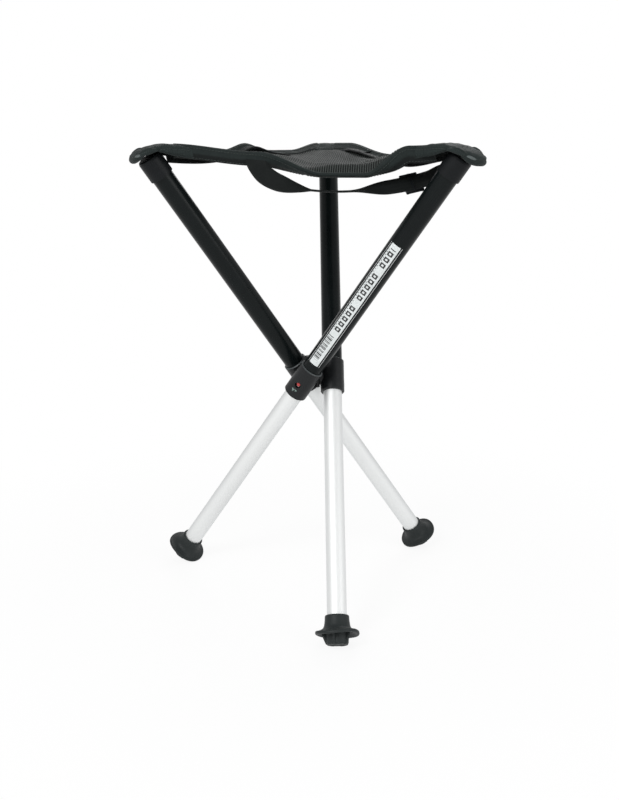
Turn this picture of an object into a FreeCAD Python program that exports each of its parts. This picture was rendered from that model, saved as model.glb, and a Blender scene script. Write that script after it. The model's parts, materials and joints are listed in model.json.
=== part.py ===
import FreeCAD, Part
import math
import os
import Sketcher
from FreeCAD import Placement, Rotation, Vector

# Collapsible three-legged stool, drawn opened out and ready to sit on.
# Millimetres, +Z up, floor at Z = 0. Each leg passes beside a central hub and turns on a
# radial pin there; its inner tube slides up into its outer tube.
# A leg's own frame has its origin on the pivot, X away from the hub and Z up the leg.

os.makedirs("parts", exist_ok=True)
doc = FreeCAD.newDocument("telescopic_stool")
sheet = doc.addObject("Spreadsheet::Sheet", "Sizes")

SIZES = {
    # whole stool
    "lean_angle": 36.2,
    "leg_offset": 24.0,
    "hub_centre_x": 12.417,
    "hub_centre_y": -6.192,
    "contact_depth": 1.0,
    # upper tube
    "upper_radius": 12.5,
    "upper_wall": 0.8,
    "upper_bottom": -10.0,
    "upper_top": 327.5,
    # lower tube
    "lower_radius": 11.3,
    "lower_wall": 1.0,
    "lower_bottom": -318.0,
    "lower_top": 28.0,
    "plug_length": 8.0,
    "plug_radius": 11.64,
    "stem_length": 12.0,
    # sleeve on the pivot
    "sleeve_radius": 14.6,
    "sleeve_bottom": -20.5,
    "sleeve_top": 21.5,
    "sleeve_chamfer": 0.9,
    "lip_radius": 11.37,
    "boss_radius": 10.0,
    "boss_face": 8.3,
    # hub
    "hub_face": 8.0,
    "hub_corner": 2.6,
    "hub_bottom": -10.5,
    "hub_top": 27.0,
    "hub_round": 2.0,
    # pivot pin
    "pin_radius": 3.0,
    "pin_clearance": 0.05,
    "pin_end": 3.0,
    "pin_head_radius": 5.0,
    "pin_head_bottom": 9.7,
    "pin_head_top": 11.1,
    "pin_seat": 9.6,
    # lock button and its spring
    "button_height": -2.0,
    "button_angle": 6.0,
    "button_radius": 2.4,
    "button_top": 12.3,
    "button_flange_radius": 3.6,
    "button_flange_bottom": 8.4,
    "button_flange_top": 9.4,
    "button_inner_end": 7.6,
    "lower_hole_radius": 2.5,
    "upper_hole_radius": 2.8,
    "sleeve_hole_radius": 3.8,
    "spring_width": 6.0,
    "spring_leaf": 0.5,
    "spring_length": 34.0,
    # collar and cap on the top of the leg
    "cap_radius": 14.1,
    "cap_bottom": 306.0,
    "cap_top": 331.5,
    "cap_round": 3.0,
    "rivet_height": 322.0,
    "rivet_radius": 2.0,
    # rubber foot
    "foot_collar_top": -291.5,
    "foot_collar_radius": 13.2,
    "foot_neck_radius": 15.2,
    "foot_lip": 1.2,
    "brim_radius": 24.6,
    "brim_root": -309.5,
    "brim_top": -313.0,
    "brim_thickness": 2.5,
    "tread_radius": 12.5,
    "tread_bottom": -327.0,
    "rib_radius": 18.0,
    "rib_width": 2.6,
    "rib_count": 5,
    "disc_thickness": 1.5,
    # seat
    "corner_reach": 214.0,
    "corner_height": 550.0,
    "front_edge_drop": 27.0,
    "left_edge_drop": 11.0,
    "right_edge_drop": 12.0,
    "edge_bow": 26.0,
    "centre_drop": 4.0,
    "panel_thickness": 1.6,
    "panel_start": 0.06,
    "band_width": 19.0,
    "band_thickness": 2.6,
    "band_end": 0.1,
    "band_end_turn": 80.0,
    "band_middle_turn": 20.0,
    "band_stations": 11,
    "pocket_start": 150.0,
    "pocket_end": 219.0,
    "pocket_width": 42.0,
    "pocket_inner_width": 37.0,
    "pocket_tip_width": 20.0,
    "pocket_rise": 2.0,
    "pocket_depth": 20.0,
    "pocket_droop": 7.0,
    "pocket_round": 6.0,
    "pocket_gap": 0.4,
    # carry strap
    "strap_width": 25.0,
    "strap_thickness": 1.6,
    "strap_stations": 17,
    "strap_left_x": -62.0,
    "strap_left_y": -75.0,
    "strap_left_drop": 23.0,
    "strap_fall_x": -62.0,
    "strap_fall_y": -96.0,
    "strap_fall_drop": 53.0,
    "strap_rise_x": 58.0,
    "strap_rise_y": -92.0,
    "strap_rise_drop": 61.0,
    "strap_right_x": 145.0,
    "strap_right_y": -77.0,
    "strap_right_drop": 31.5,
    "strap_left_turn": 46.0,
    "strap_slider_turn": 35.0,
    "strap_right_turn": 50.0,
    "slider_length": 20.0,
    "slider_width": 30.0,
    "slider_thickness": 4.6,
    "slider_bar": 3.0,
    "slider_place": 0.865,
    # label
    "label_bottom": 32.5,
    "label_top": 213.0,
    "label_width": 12.0,
    "label_thickness": 0.2,
    "label_angle": 7.0,
}


class Size:
    """A length with its number and the sheet expression that gives it."""

    def __init__(self, value, text):
        self.value = value
        self.text = text

    def __add__(self, other):
        other = as_size(other)
        return Size(self.value + other.value, "(%s + %s)" % (self.text, other.text))

    def __sub__(self, other):
        other = as_size(other)
        return Size(self.value - other.value, "(%s - %s)" % (self.text, other.text))

    def __mul__(self, other):
        other = as_size(other)
        return Size(self.value * other.value, "(%s * %s)" % (self.text, other.text))


def as_size(value):
    """A plain number as a size."""
    if isinstance(value, Size):
        return value
    return Size(float(value), "(%r)" % float(value))


size = {}
for row, (alias, value) in enumerate(SIZES.items(), start=1):
    sheet.set("A%d" % row, alias)
    sheet.set("B%d" % row, str(value))
    sheet.setAlias("B%d" % row, alias)
    size[alias] = Size(float(value), "Sizes.%s" % alias)
doc.recompute()

lean = math.radians(size["lean_angle"].value)
hub_height = (
    -size["tread_bottom"].value * math.cos(lean)
    + size["tread_radius"].value * math.sin(lean)
    - size["contact_depth"].value
)
hub_centre = Vector(size["hub_centre_x"].value, size["hub_centre_y"].value, hub_height)
hub_place = Placement(hub_centre, Rotation())
LEG_DIRECTIONS = {1: -120.0, 2: 0.0, 3: 120.0}
FULL_TURN = 360.0


def radial(leg):
    """The unit vector from the hub's axis to a leg's pivot."""
    angle = math.radians(LEG_DIRECTIONS[leg])
    return Vector(math.cos(angle), math.sin(angle), 0)


def leg_place(leg):
    """A leg's own frame: X radial, Z up the leg, leaning sideways about X."""
    spin = Rotation(Vector(0, 0, 1), LEG_DIRECTIONS[leg])
    tilt = Rotation(Vector(1, 0, 0), -size["lean_angle"].value)
    return Placement(hub_centre + radial(leg) * size["leg_offset"].value, spin.multiply(tilt))


def pivot_place(leg):
    """The hub's frame with X turned to a leg's pivot."""
    return Placement(hub_centre, Rotation(Vector(0, 0, 1), LEG_DIRECTIONS[leg]))


def bind(item, path, value):
    """Ties one property to the sheet."""
    item.setExpression(path, as_size(value).text)


def bound_sketch(body, name, points):
    """A closed outline on the body's XZ plane, each corner held by two sizes from the sheet."""
    plane = [p for p in body.Origin.OriginFeatures if p.Role == "XZ_Plane"][0]
    sketch = body.newObject("Sketcher::SketchObject", name + "_section")
    sketch.AttachmentSupport = [(plane, "")]
    sketch.MapMode = "FlatFace"
    count = len(points)
    spots = [Vector(as_size(across).value, as_size(up).value, 0) for across, up in points]
    for k in range(count):
        sketch.addGeometry(Part.LineSegment(spots[k], spots[(k + 1) % count]), False)
    for k in range(count):
        sketch.addConstraint(Sketcher.Constraint("Coincident", k, 2, (k + 1) % count, 1))
    for k, corner in enumerate(points):
        for kind, length in zip(("DistanceX", "DistanceY"), corner):
            length = as_size(length)
            if kind == "DistanceX" and length.value == 0:
                sketch.addConstraint(Sketcher.Constraint("PointOnObject", k, 1, -2))
                continue
            number = sketch.addConstraint(
                Sketcher.Constraint(kind, -1, 1, k, 1, length.value)
            )
            sketch.setExpression("Constraints[%d]" % number, length.text)
    return sketch


def turned(name, points):
    """A turned piece: a closed half section of radius and height, spun about Z."""
    body = doc.addObject("PartDesign::Body", name)
    sketch = bound_sketch(body, name, points)
    spin = body.newObject("PartDesign::Revolution", name + "_spin")
    spin.Profile = sketch
    spin.ReferenceAxis = (sketch, ["V_Axis"])
    spin.Angle = FULL_TURN
    return body


def strip(name, points, width):
    """A strip of even width: an outline on the XZ plane, padded to both sides of it."""
    body = doc.addObject("PartDesign::Body", name)
    sketch = bound_sketch(body, name, points)
    pad = body.newObject("PartDesign::Pad", name + "_pad")
    pad.Profile = sketch
    pad.SideType = "Symmetric"
    bind(pad, "Length", width)
    return body


def cylinder(name, radius, bottom, top, frame=None):
    """A cylinder along the Z axis of a frame, from one height on that axis to another."""
    item = doc.addObject("Part::Cylinder", name)
    bind(item, "Radius", radius)
    bind(item, "Height", as_size(top) - bottom)
    frame = frame or Placement()
    item.Placement = frame.multiply(Placement(Vector(0, 0, as_size(bottom).value), Rotation()))
    return item


def block(name, length, width, height, frame):
    """A block on a frame's corner."""
    item = doc.addObject("Part::Box", name)
    bind(item, "Length", length)
    bind(item, "Width", width)
    bind(item, "Height", height)
    item.Placement = frame
    return item


def joined(name, items):
    """Several shapes made one."""
    item = doc.addObject("Part::MultiFuse", name)
    item.Shapes = items
    return item


def without(name, base, tool):
    """One shape with another taken away."""
    item = doc.addObject("Part::Cut", name)
    item.Base = base
    item.Tool = tool
    return item


def free_form(name, shape):
    """A form that neither a sketch nor a primitive gives."""
    item = doc.addObject("Part::Feature", name)
    item.Shape = shape
    return item


pieces = []


def keep(item, label, place=None):
    """Names a finished piece and puts it in its place."""
    item.Label = label
    if place is not None:
        item.Placement = place
    pieces.append(item)
    return item


def across(angle, height=0.0):
    """A frame in the leg's own whose Z points outward, turned from X about the leg."""
    turn = Rotation(Vector(0, 0, 1), angle).multiply(Rotation(Vector(0, 1, 0), 90))
    return Placement(Vector(0, 0, height), turn)


ZERO = as_size(0)
MARGIN = as_size(2)
offset = size["leg_offset"]

# Central hub: a three-sided block with rounded corners, a flat side for each leg
hub_block = doc.addObject("Part::Prism", "hub_block")
hub_block.Polygon = 3
bind(hub_block, "Circumradius", size["hub_face"] * 2)
bind(hub_block, "Height", size["hub_top"] - size["hub_bottom"])
hub_block.Placement = Placement(
    Vector(0, 0, size["hub_bottom"].value), Rotation(Vector(0, 0, 1), 180)
)
doc.recompute()
upright = [
    (number, size["hub_corner"].value, size["hub_corner"].value)
    for number, edge in enumerate(hub_block.Shape.Edges, start=1)
    if abs(edge.tangentAt(edge.FirstParameter).z) > 0.9
]
hub_cornered = doc.addObject("Part::Fillet", "hub_cornered")
hub_cornered.Base = hub_block
hub_cornered.Edges = upright
doc.recompute()
rims = [
    (number, size["hub_round"].value, size["hub_round"].value)
    for number, edge in enumerate(hub_cornered.Shape.Edges, start=1)
    if abs(edge.BoundBox.ZMin - size["hub_top"].value) < 0.01
]
hub_rounded = doc.addObject("Part::Fillet", "hub_rounded")
hub_rounded.Base = hub_cornered
hub_rounded.Edges = rims
pin_holes = [
    cylinder(
        "hub_hole_%d" % leg,
        size["pin_radius"],
        size["pin_end"],
        size["hub_face"] + MARGIN,
        across(LEG_DIRECTIONS[leg]),
    )
    for leg in LEG_DIRECTIONS
]
keep(without("hub_drilled", hub_rounded, joined("hub_holes", pin_holes)), "hub", hub_place)

# Legs
for leg in LEG_DIRECTIONS:
    place = leg_place(leg)
    button_frame = across(size["button_angle"].value, size["button_height"].value)
    inward = across(180.0)

    # Pin that the sleeve turns on, pressed into the hub, its head sunk under the tube
    pin = turned(
        "pivot_pin_%d_body" % leg,
        [
            (ZERO, size["pin_end"]),
            (size["pin_radius"], size["pin_end"]),
            (size["pin_radius"], size["pin_head_bottom"]),
            (size["pin_head_radius"], size["pin_head_bottom"]),
            (size["pin_head_radius"], size["pin_head_top"]),
            (ZERO, size["pin_head_top"]),
        ],
    )
    keep(
        pin,
        "pivot_pin_%d" % leg,
        pivot_place(leg).multiply(across(0.0)),
    )

    # Sleeve: holds the upper tube, guides the lower one and carries the pivot boss
    sleeve_turned = turned(
        "sleeve_%d_body" % leg,
        [
            (size["lip_radius"], size["sleeve_bottom"]),
            (size["sleeve_radius"] - size["sleeve_chamfer"], size["sleeve_bottom"]),
            (size["sleeve_radius"], size["sleeve_bottom"] + size["sleeve_chamfer"]),
            (size["sleeve_radius"], size["sleeve_top"] - size["sleeve_chamfer"]),
            (size["sleeve_radius"] - size["sleeve_chamfer"], size["sleeve_top"]),
            (size["upper_radius"], size["sleeve_top"]),
            (size["upper_radius"], size["upper_bottom"]),
            (size["lip_radius"], size["upper_bottom"]),
        ],
    )
    boss = cylinder(
        "boss_%d" % leg,
        size["boss_radius"],
        size["lip_radius"],
        offset - size["boss_face"],
        inward,
    )
    sleeve_solid = joined("sleeve_%d_solid" % leg, [sleeve_turned, boss])
    sleeve_tools = [
        cylinder(
            "sleeve_bore_%d" % leg,
            size["upper_radius"],
            size["upper_bottom"],
            size["sleeve_top"] + MARGIN,
        ),
        cylinder(
            "lip_bore_%d" % leg,
            size["lip_radius"],
            size["sleeve_bottom"] - MARGIN,
            size["upper_bottom"],
        ),
        cylinder(
            "pivot_hole_%d" % leg,
            size["pin_radius"] + size["pin_clearance"],
            size["lip_radius"] - MARGIN,
            offset,
            inward,
        ),
        cylinder(
            "pivot_recess_%d" % leg,
            size["pin_head_radius"] + 0.3,
            size["lip_radius"] - MARGIN,
            offset - size["pin_seat"],
            inward,
        ),
        cylinder(
            "button_window_%d" % leg,
            size["sleeve_hole_radius"],
            size["lip_radius"] - MARGIN,
            size["sleeve_radius"] + MARGIN,
            button_frame,
        ),
    ]
    sleeve = without(
        "sleeve_%d_cut" % leg, sleeve_solid, joined("sleeve_%d_tools" % leg, sleeve_tools)
    )
    keep(sleeve, "sleeve_%d" % leg, place)

    # Upper tube, pierced for the lock button and for the cap's rivet
    upper_bore = size["upper_radius"] - size["upper_wall"]
    upper = turned(
        "upper_%d_body" % leg,
        [
            (upper_bore, size["upper_bottom"]),
            (size["upper_radius"], size["upper_bottom"]),
            (size["upper_radius"], size["upper_top"]),
            (upper_bore, size["upper_top"]),
        ],
    )
    upper_tools = [
        cylinder(
            "upper_hole_%d" % leg,
            size["upper_hole_radius"],
            size["lower_radius"] - MARGIN,
            size["upper_radius"] + MARGIN,
            button_frame,
        ),
        cylinder(
            "rivet_hole_%d" % leg,
            size["rivet_radius"],
            size["lower_radius"] - MARGIN,
            size["cap_radius"] + MARGIN,
            across(0.0, size["rivet_height"].value),
        ),
    ]
    upper_cut = without("upper_%d_cut" % leg, upper, joined("upper_%d_tools" % leg, upper_tools))
    keep(upper_cut, "upper_tube_%d" % leg, place)

    # Cap: a collar round the tube's top end, closed above it
    cap = turned(
        "cap_%d_body" % leg,
        [
            (size["upper_radius"], size["cap_bottom"]),
            (size["cap_radius"], size["cap_bottom"]),
            (size["cap_radius"], size["cap_top"] - size["cap_round"]),
            (size["cap_radius"] - size["cap_round"] * 0.3, size["cap_top"] - size["cap_round"] * 0.3),
            (size["cap_radius"] - size["cap_round"], size["cap_top"]),
            (ZERO, size["cap_top"]),
            (ZERO, size["upper_top"]),
            (size["upper_radius"], size["upper_top"]),
        ],
    )
    rivet_frame = across(0.0, size["rivet_height"].value)
    cap_hole = cylinder(
        "cap_hole_%d" % leg,
        size["rivet_radius"],
        size["upper_radius"] - MARGIN,
        size["cap_radius"] + MARGIN,
        rivet_frame,
    )
    keep(without("cap_%d_cut" % leg, cap, cap_hole), "top_cap_%d" % leg, place)

    # Rivet that holds the cap on the tube, its spread end inside the bore
    rivet = turned(
        "rivet_%d_body" % leg,
        [
            (ZERO, size["upper_radius"] - 2.6),
            (size["rivet_radius"] + 1.0, size["upper_radius"] - 2.6),
            (size["rivet_radius"] + 1.0, size["upper_radius"] - 1.4),
            (size["rivet_radius"], size["upper_radius"] - 1.4),
            (size["rivet_radius"], size["cap_radius"] - 0.1),
            (ZERO, size["cap_radius"] - 0.1),
        ],
    )
    keep(rivet, "cap_rivet_%d" % leg, place.multiply(rivet_frame))

    # Lower tube, pierced for the lock button
    lower_bore = size["lower_radius"] - size["lower_wall"]
    lower = turned(
        "lower_%d_body" % leg,
        [
            (lower_bore, size["lower_bottom"]),
            (size["lower_radius"], size["lower_bottom"]),
            (size["lower_radius"], size["lower_top"]),
            (lower_bore, size["lower_top"]),
        ],
    )
    lower_hole = cylinder(
        "lower_hole_%d" % leg,
        size["lower_hole_radius"],
        lower_bore - MARGIN,
        size["lower_radius"] + MARGIN,
        button_frame,
    )
    keep(without("lower_%d_cut" % leg, lower, lower_hole), "lower_tube_%d" % leg, place)

    # Plug in the lower tube's top end, a running fit in the upper tube
    plug_bore = lower_bore - 3.0
    plug = turned(
        "plug_%d_body" % leg,
        [
            (plug_bore, size["lower_top"] - size["stem_length"]),
            (lower_bore, size["lower_top"] - size["stem_length"]),
            (lower_bore, size["lower_top"]),
            (size["plug_radius"], size["lower_top"]),
            (size["plug_radius"], size["lower_top"] + size["plug_length"]),
            (plug_bore, size["lower_top"] + size["plug_length"]),
        ],
    )
    keep(plug, "tube_plug_%d" % leg, place)

    # Lock button: domed, with a flange that stops it inside the lower tube
    button = turned(
        "button_%d_body" % leg,
        [
            (ZERO, size["button_inner_end"]),
            (size["button_radius"], size["button_inner_end"]),
            (size["button_radius"], size["button_flange_bottom"]),
            (size["button_flange_radius"], size["button_flange_bottom"]),
            (size["button_flange_radius"], size["button_flange_top"]),
            (size["button_radius"], size["button_flange_top"]),
            (size["button_radius"], size["button_top"] - 0.7),
            (size["button_radius"] - 0.7, size["button_top"]),
            (ZERO, size["button_top"]),
        ],
    )
    keep(button, "lock_button_%d" % leg, place.multiply(button_frame))

    # Bent leaf spring behind the button: up the near wall and back along the far one
    near = size["button_inner_end"]
    leaf = size["spring_leaf"]
    far = lower_bore - 0.9
    low = ZERO - size["spring_length"]
    spring = strip(
        "spring_%d_body" % leg,
        [
            (near, as_size(4)),
            (near, low + 6.0),
            (ZERO, low),
            (ZERO - far, low + 6.0),
            (ZERO - far, ZERO - 6.0),
            (leaf - far, ZERO - 6.0),
            (leaf - far, low + 6.3),
            (ZERO, low + leaf + 0.1),
            (near - leaf, low + 6.3),
            (near - leaf, as_size(4)),
        ],
        size["spring_width"],
    )
    spring_frame = Placement(
        Vector(0, 0, size["button_height"].value),
        Rotation(Vector(0, 0, 1), size["button_angle"].value),
    )
    keep(spring, "lock_spring_%d" % leg, place.multiply(spring_frame))

    # Steel disc under the tube's end, so that it doesn't cut through the rubber
    disc_bottom = size["lower_bottom"] - size["disc_thickness"]
    disc = cylinder("disc_%d_body" % leg, size["lower_radius"], disc_bottom, size["lower_bottom"])
    disc_low = Placement(Vector(0, 0, disc_bottom.value), Rotation())
    keep(disc, "foot_disc_%d" % leg, place.multiply(disc_low))

    # Rubber foot: a collar on the tube, a thin drooping brim and a ribbed tread below it
    brim_low = size["brim_top"] - size["brim_thickness"]
    foot_turned = turned(
        "foot_%d_body" % leg,
        [
            (size["lower_radius"], size["foot_collar_top"]),
            (size["foot_collar_radius"] - 1.0, size["foot_collar_top"]),
            (size["foot_collar_radius"], size["foot_collar_top"] - 1.0),
            (size["foot_neck_radius"], size["brim_root"]),
            (size["brim_radius"] - 2.0, size["brim_top"]),
            (size["brim_radius"], size["brim_top"] - 0.8),
            (size["brim_radius"], brim_low),
            (size["brim_radius"] - 1.5, brim_low),
            (size["tread_radius"], size["brim_root"] - 4.0),
            (size["tread_radius"], size["tread_bottom"]),
            (ZERO, size["tread_bottom"]),
            (ZERO, disc_bottom),
            (size["lower_radius"], disc_bottom),
        ],
    )
    rib_cone = doc.addObject("Part::Cone", "rib_cone_%d" % leg)
    bind(rib_cone, "Radius1", size["tread_radius"])
    bind(rib_cone, "Radius2", size["rib_radius"])
    bind(rib_cone, "Height", size["brim_root"] - 4.0 - size["tread_bottom"])
    rib_cone.Placement = Placement(Vector(0, 0, size["tread_bottom"].value), Rotation())
    rib_plates = []
    for k in range(int(size["rib_count"].value)):
        turn = Rotation(Vector(0, 0, 1), 180.0 + k * FULL_TURN / size["rib_count"].value)
        start = turn.multVec(Vector(5.0, -size["rib_width"].value / 2, 0))
        start.z = size["tread_bottom"].value
        rib_plates.append(
            block(
                "rib_%d_%d" % (leg, k),
                size["rib_radius"],
                size["rib_width"],
                size["brim_root"] - 4.0 - size["tread_bottom"],
                Placement(start, turn),
            )
        )
    ribs = doc.addObject("Part::Common", "ribs_%d" % leg)
    ribs.Base = rib_cone
    ribs.Tool = joined("rib_plates_%d" % leg, rib_plates)
    foot_socket = cylinder(
        "foot_socket_%d" % leg, size["lower_radius"], disc_bottom, size["foot_collar_top"] + MARGIN
    )
    foot_whole = joined("foot_%d_whole" % leg, [foot_turned, ribs])
    half = 60.0
    foot_low = Vector(offset.value - half, size["tread_bottom"].value * math.sin(lean) - half, -20.0)
    ground = Placement(
        Vector(hub_centre.x, hub_centre.y, 0), Rotation(Vector(0, 0, 1), LEG_DIRECTIONS[leg])
    ).multiply(Placement(foot_low, Rotation()))
    floor_block = block(
        "floor_%d" % leg,
        as_size(2 * half),
        as_size(2 * half),
        as_size(20),
        place.inverse().multiply(ground),
    )
    foot = without(
        "foot_%d_cut" % leg, foot_whole, joined("foot_%d_tools" % leg, [foot_socket, floor_block])
    )
    keep(foot, "foot_%d" % leg, place)


# Seat: three corners joined by edges that bow inward and sag, the sheet hanging between them
def leg_point(leg, along):
    """A point on a leg's axis."""
    return leg_place(leg).multVec(Vector(0, 0, along))


def corner_way(leg):
    """The level direction from the hub's axis to a leg's top."""
    way = leg_point(leg, size["upper_top"].value) - hub_centre
    way.z = 0
    return way.normalize()


def at_height(point, height):
    """The same place in plan at another height."""
    return Vector(point.x, point.y, height)


corners = {
    leg: at_height(
        hub_centre + corner_way(leg) * size["corner_reach"].value, size["corner_height"].value
    )
    for leg in LEG_DIRECTIONS
}
SEAT_EDGES = ((1, 3), (3, 2), (2, 1))
edge_drop = {
    (1, 3): size["front_edge_drop"].value,
    (3, 2): size["left_edge_drop"].value,
    (2, 1): size["right_edge_drop"].value,
}
seat_middle = (corners[1] + corners[2] + corners[3]) / 3.0


def edge_inward(start, end):
    """The level direction from an edge's middle to the seat's middle."""
    way = seat_middle - (corners[start] + corners[end]) / 2.0
    way.z = 0
    return way.normalize()


def edge_shift(start, end, part):
    """How far an edge lies off the straight line between its corners."""
    bow = 4 * part * (1 - part) * size["edge_bow"].value
    drop = math.sin(math.pi * part) ** 3 * edge_drop[start, end]
    return edge_inward(start, end) * bow - Vector(0, 0, drop)


def seat_point(a, b, c):
    """The sheet at the shares a, b and c of corners 1, 3 and 2."""
    point = corners[1] * a + corners[3] * b + corners[2] * c
    for (start, end), (first, second) in zip(SEAT_EDGES, ((a, b), (b, c), (c, a))):
        both = first + second
        if both > 0:
            point = point + edge_shift(start, end, second / both) * both**3
    return point - Vector(0, 0, 27 * a * b * c * size["centre_drop"].value)


def edge_frame(start, end, part):
    """An edge's point there, its direction and its level inward normal."""
    chord = corners[end] - corners[start]
    step = 0.001
    point = corners[start] + chord * part + edge_shift(start, end, part)
    ahead = corners[start] + chord * (part + step) + edge_shift(start, end, part + step)
    along = (ahead - point).normalize()
    level = along.cross(Vector(0, 0, 1)).normalize()
    if level.dot(edge_inward(start, end)) < 0:
        level = level * -1
    return point, along, level


def rectangle(centre, wide, thick, width, thickness):
    """A closed four-sided wire about a centre."""
    w = wide * (width / 2)
    t = thick * (thickness / 2)
    ring = [centre - w - t, centre + w - t, centre + w + t, centre - w + t]
    return Part.makePolygon(ring + [ring[0]])


def strap_form(stations, width, thickness):
    """A woven strip lofted through flat sections, each a centre, an along and a width way."""
    wires = []
    for centre, along, wide in stations:
        wires.append(rectangle(centre, wide, along.cross(wide).normalize(), width, thickness))
    return Part.makeLoft(wires, True, False)


def spread(count, low, high):
    """Evenly spaced numbers, both ends included."""
    return [low + (high - low) * k / (count - 1) for k in range(count)]


def rounded(centre, wide, width, height, radius):
    """A closed upright outline of four lines and four quarter arcs about a centre."""
    up = Vector(0, 0, 1)
    flat = 1 - math.sqrt(0.5)
    parts = []
    for side, top in ((1, 1), (-1, 1), (-1, -1), (1, -1)):
        corner = centre + wide * (side * width / 2) + up * (top * height / 2)
        beside = corner - up * (top * radius)
        above = corner - wide * (side * radius)
        middle = corner - wide * (side * radius * flat) - up * (top * radius * flat)
        first, last = (beside, above) if side == top else (above, beside)
        parts.append((first, middle, last))
    edges = []
    for k, (first, middle, last) in enumerate(parts):
        edges.append(Part.Arc(first, middle, last).toShape())
        edges.append(Part.makeLine(last, parts[(k + 1) % 4][0]))
    return Part.Wire(edges)


def corner_blocks():
    """Blocks that end the seat's cloth just short of the corner pockets."""
    blocks = []
    half = 100.0
    for leg in LEG_DIRECTIONS:
        way = corner_way(leg)
        turn = Rotation(Vector(1, 0, 0), way)
        low = hub_centre + way * (size["pocket_start"].value - size["pocket_gap"].value)
        low = at_height(low, size["corner_height"].value - half) - turn.multVec(Vector(0, half, 0))
        item = Part.makeBox(2 * half, 2 * half, 2 * half)
        item.Placement = Placement(low, turn)
        blocks.append(item)
    return blocks


# Corner pockets: cloth caps that narrow to a drooping tip, each hollowed for a leg's cap
pocket_forms = {}
for leg in LEG_DIRECTIONS:
    way = corner_way(leg)
    side = Vector(0, 0, 1).cross(way)
    start = size["pocket_start"].value
    reach = size["pocket_end"].value - start
    sections = []
    for share, width, fall in (
        (0.0, size["pocket_inner_width"].value, 0.0),
        (0.35, size["pocket_width"].value, 0.0),
        (0.7, size["pocket_width"].value, 0.15),
        (0.9, (size["pocket_width"].value + size["pocket_tip_width"].value) / 2, 0.5),
        (1.0, size["pocket_tip_width"].value, 1.0),
    ):
        top = size["corner_height"].value + size["pocket_rise"].value * (share > 0)
        top -= fall * size["pocket_droop"].value
        bottom = size["corner_height"].value - size["pocket_depth"].value
        bottom -= math.sin(math.pi * share) * 2.0
        middle = at_height(hub_centre + way * (start + reach * share), (top + bottom) / 2)
        sections.append(rounded(middle, side, width, top - bottom, size["pocket_round"].value))
    pocket_shape = Part.makeLoft(sections, True, False)
    axis = leg_point(leg, 1.0) - leg_point(leg, 0.0)
    hollow = Part.makeCylinder(
        size["cap_radius"].value + 0.1,
        size["cap_top"].value + 0.1 - size["cap_bottom"].value,
        leg_point(leg, size["cap_bottom"].value),
        axis,
    )
    pocket_forms[leg] = pocket_shape.cut(hollow)
    keep(free_form("pocket_form_%d" % leg, pocket_forms[leg]), "corner_pocket_%d" % leg)

# Bands: upright near the corners, where they hang off the rim, and turned under in the middle
band_shapes = []
for number, (start, end) in enumerate(SEAT_EDGES, start=1):
    stations = []
    for part in spread(
        int(size["band_stations"].value), size["band_end"].value, 1 - size["band_end"].value
    ):
        point, along, level = edge_frame(start, end, part)
        share = math.sin(math.pi * part) ** 2
        turn = math.radians(
            size["band_end_turn"].value * (1 - share) + size["band_middle_turn"].value * share
        )
        down = along.cross(level).normalize()
        if down.z > 0:
            down = down * -1
        wide = (level * math.cos(turn) + down * math.sin(turn)).normalize()
        under = down * (size["panel_thickness"].value + size["band_thickness"].value / 2)
        centre = point + wide * (size["band_width"].value / 2) + under * math.cos(turn)
        stations.append((centre, along, wide))
    band_shape = strap_form(stations, size["band_width"].value, size["band_thickness"].value)
    for corner_block in corner_blocks():
        band_shape = band_shape.cut(corner_block)
    band_shapes.append(band_shape)
    keep(free_form("band_form_%d" % number, band_shape), "edge_band_%d" % number)

# Mesh panel: one sheet through a grid of points, given its thickness straight down
rows = []
for v in spread(13, size["panel_start"].value, 1.0):
    rows.append([seat_point((1 - u) * v, u * v, 1 - v) for u in spread(13, 0.0, 1.0)])
sheet_surface = Part.BSplineSurface()
sheet_surface.interpolate(rows)
panel_shape = sheet_surface.toShape().extrude(Vector(0, 0, -size["panel_thickness"].value))
for tool in band_shapes + corner_blocks():
    panel_shape = panel_shape.cut(tool)
keep(free_form("panel_form", panel_shape), "seat_panel")

# Carry strap: falls from under the front band, lies flat in its middle and turns up at its end
strap_poles = [
    at_height(hub_centre, corners[1].z)
    + Vector(
        size["strap_%s_x" % place].value,
        size["strap_%s_y" % place].value,
        -size["strap_%s_drop" % place].value,
    )
    for place in ("left", "fall", "rise", "right")
]


def eased(value):
    """A smooth step from 0 to 1."""
    if value <= 0:
        return 0.0
    if value >= 1:
        return 1.0
    return value * value * (3 - 2 * value)


def strap_point(part):
    """The strap's middle line: a cubic curve drawn by four poles."""
    rest = 1 - part
    shares = (rest**3, 3 * rest**2 * part, 3 * rest * part**2, part**3)
    point = Vector()
    for share, pole in zip(shares, strap_poles):
        point = point + pole * share
    return point


def strap_station(part):
    """The strap's middle, direction and width way."""
    step = 0.001
    along = (strap_point(part + step) - strap_point(part - step)).normalize()
    up = (Vector(0, 0, 1) - along * along.z).normalize()
    back = up.cross(along)
    turn = size["strap_left_turn"].value * math.sin(math.pi * min(part / 0.45, 1.0))
    turn += size["strap_slider_turn"].value * eased((part - 0.62) / 0.16)
    last_turn = size["strap_right_turn"].value - size["strap_slider_turn"].value
    turn = math.radians(turn + last_turn * eased((part - 0.94) / 0.06))
    wide = (back * math.cos(turn) + up * math.sin(turn)).normalize()
    return strap_point(part), along, wide


strap_stations = [strap_station(p) for p in spread(int(size["strap_stations"].value), 0.0, 1.0)]
strap_shape = strap_form(
    strap_stations, size["strap_width"].value, size["strap_thickness"].value
)

# Slider on the strap: a flat frame with a cross bar
slider_middle, slider_along, slider_wide = strap_station(size["slider_place"].value)
slider_thick = slider_along.cross(slider_wide).normalize()


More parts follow.
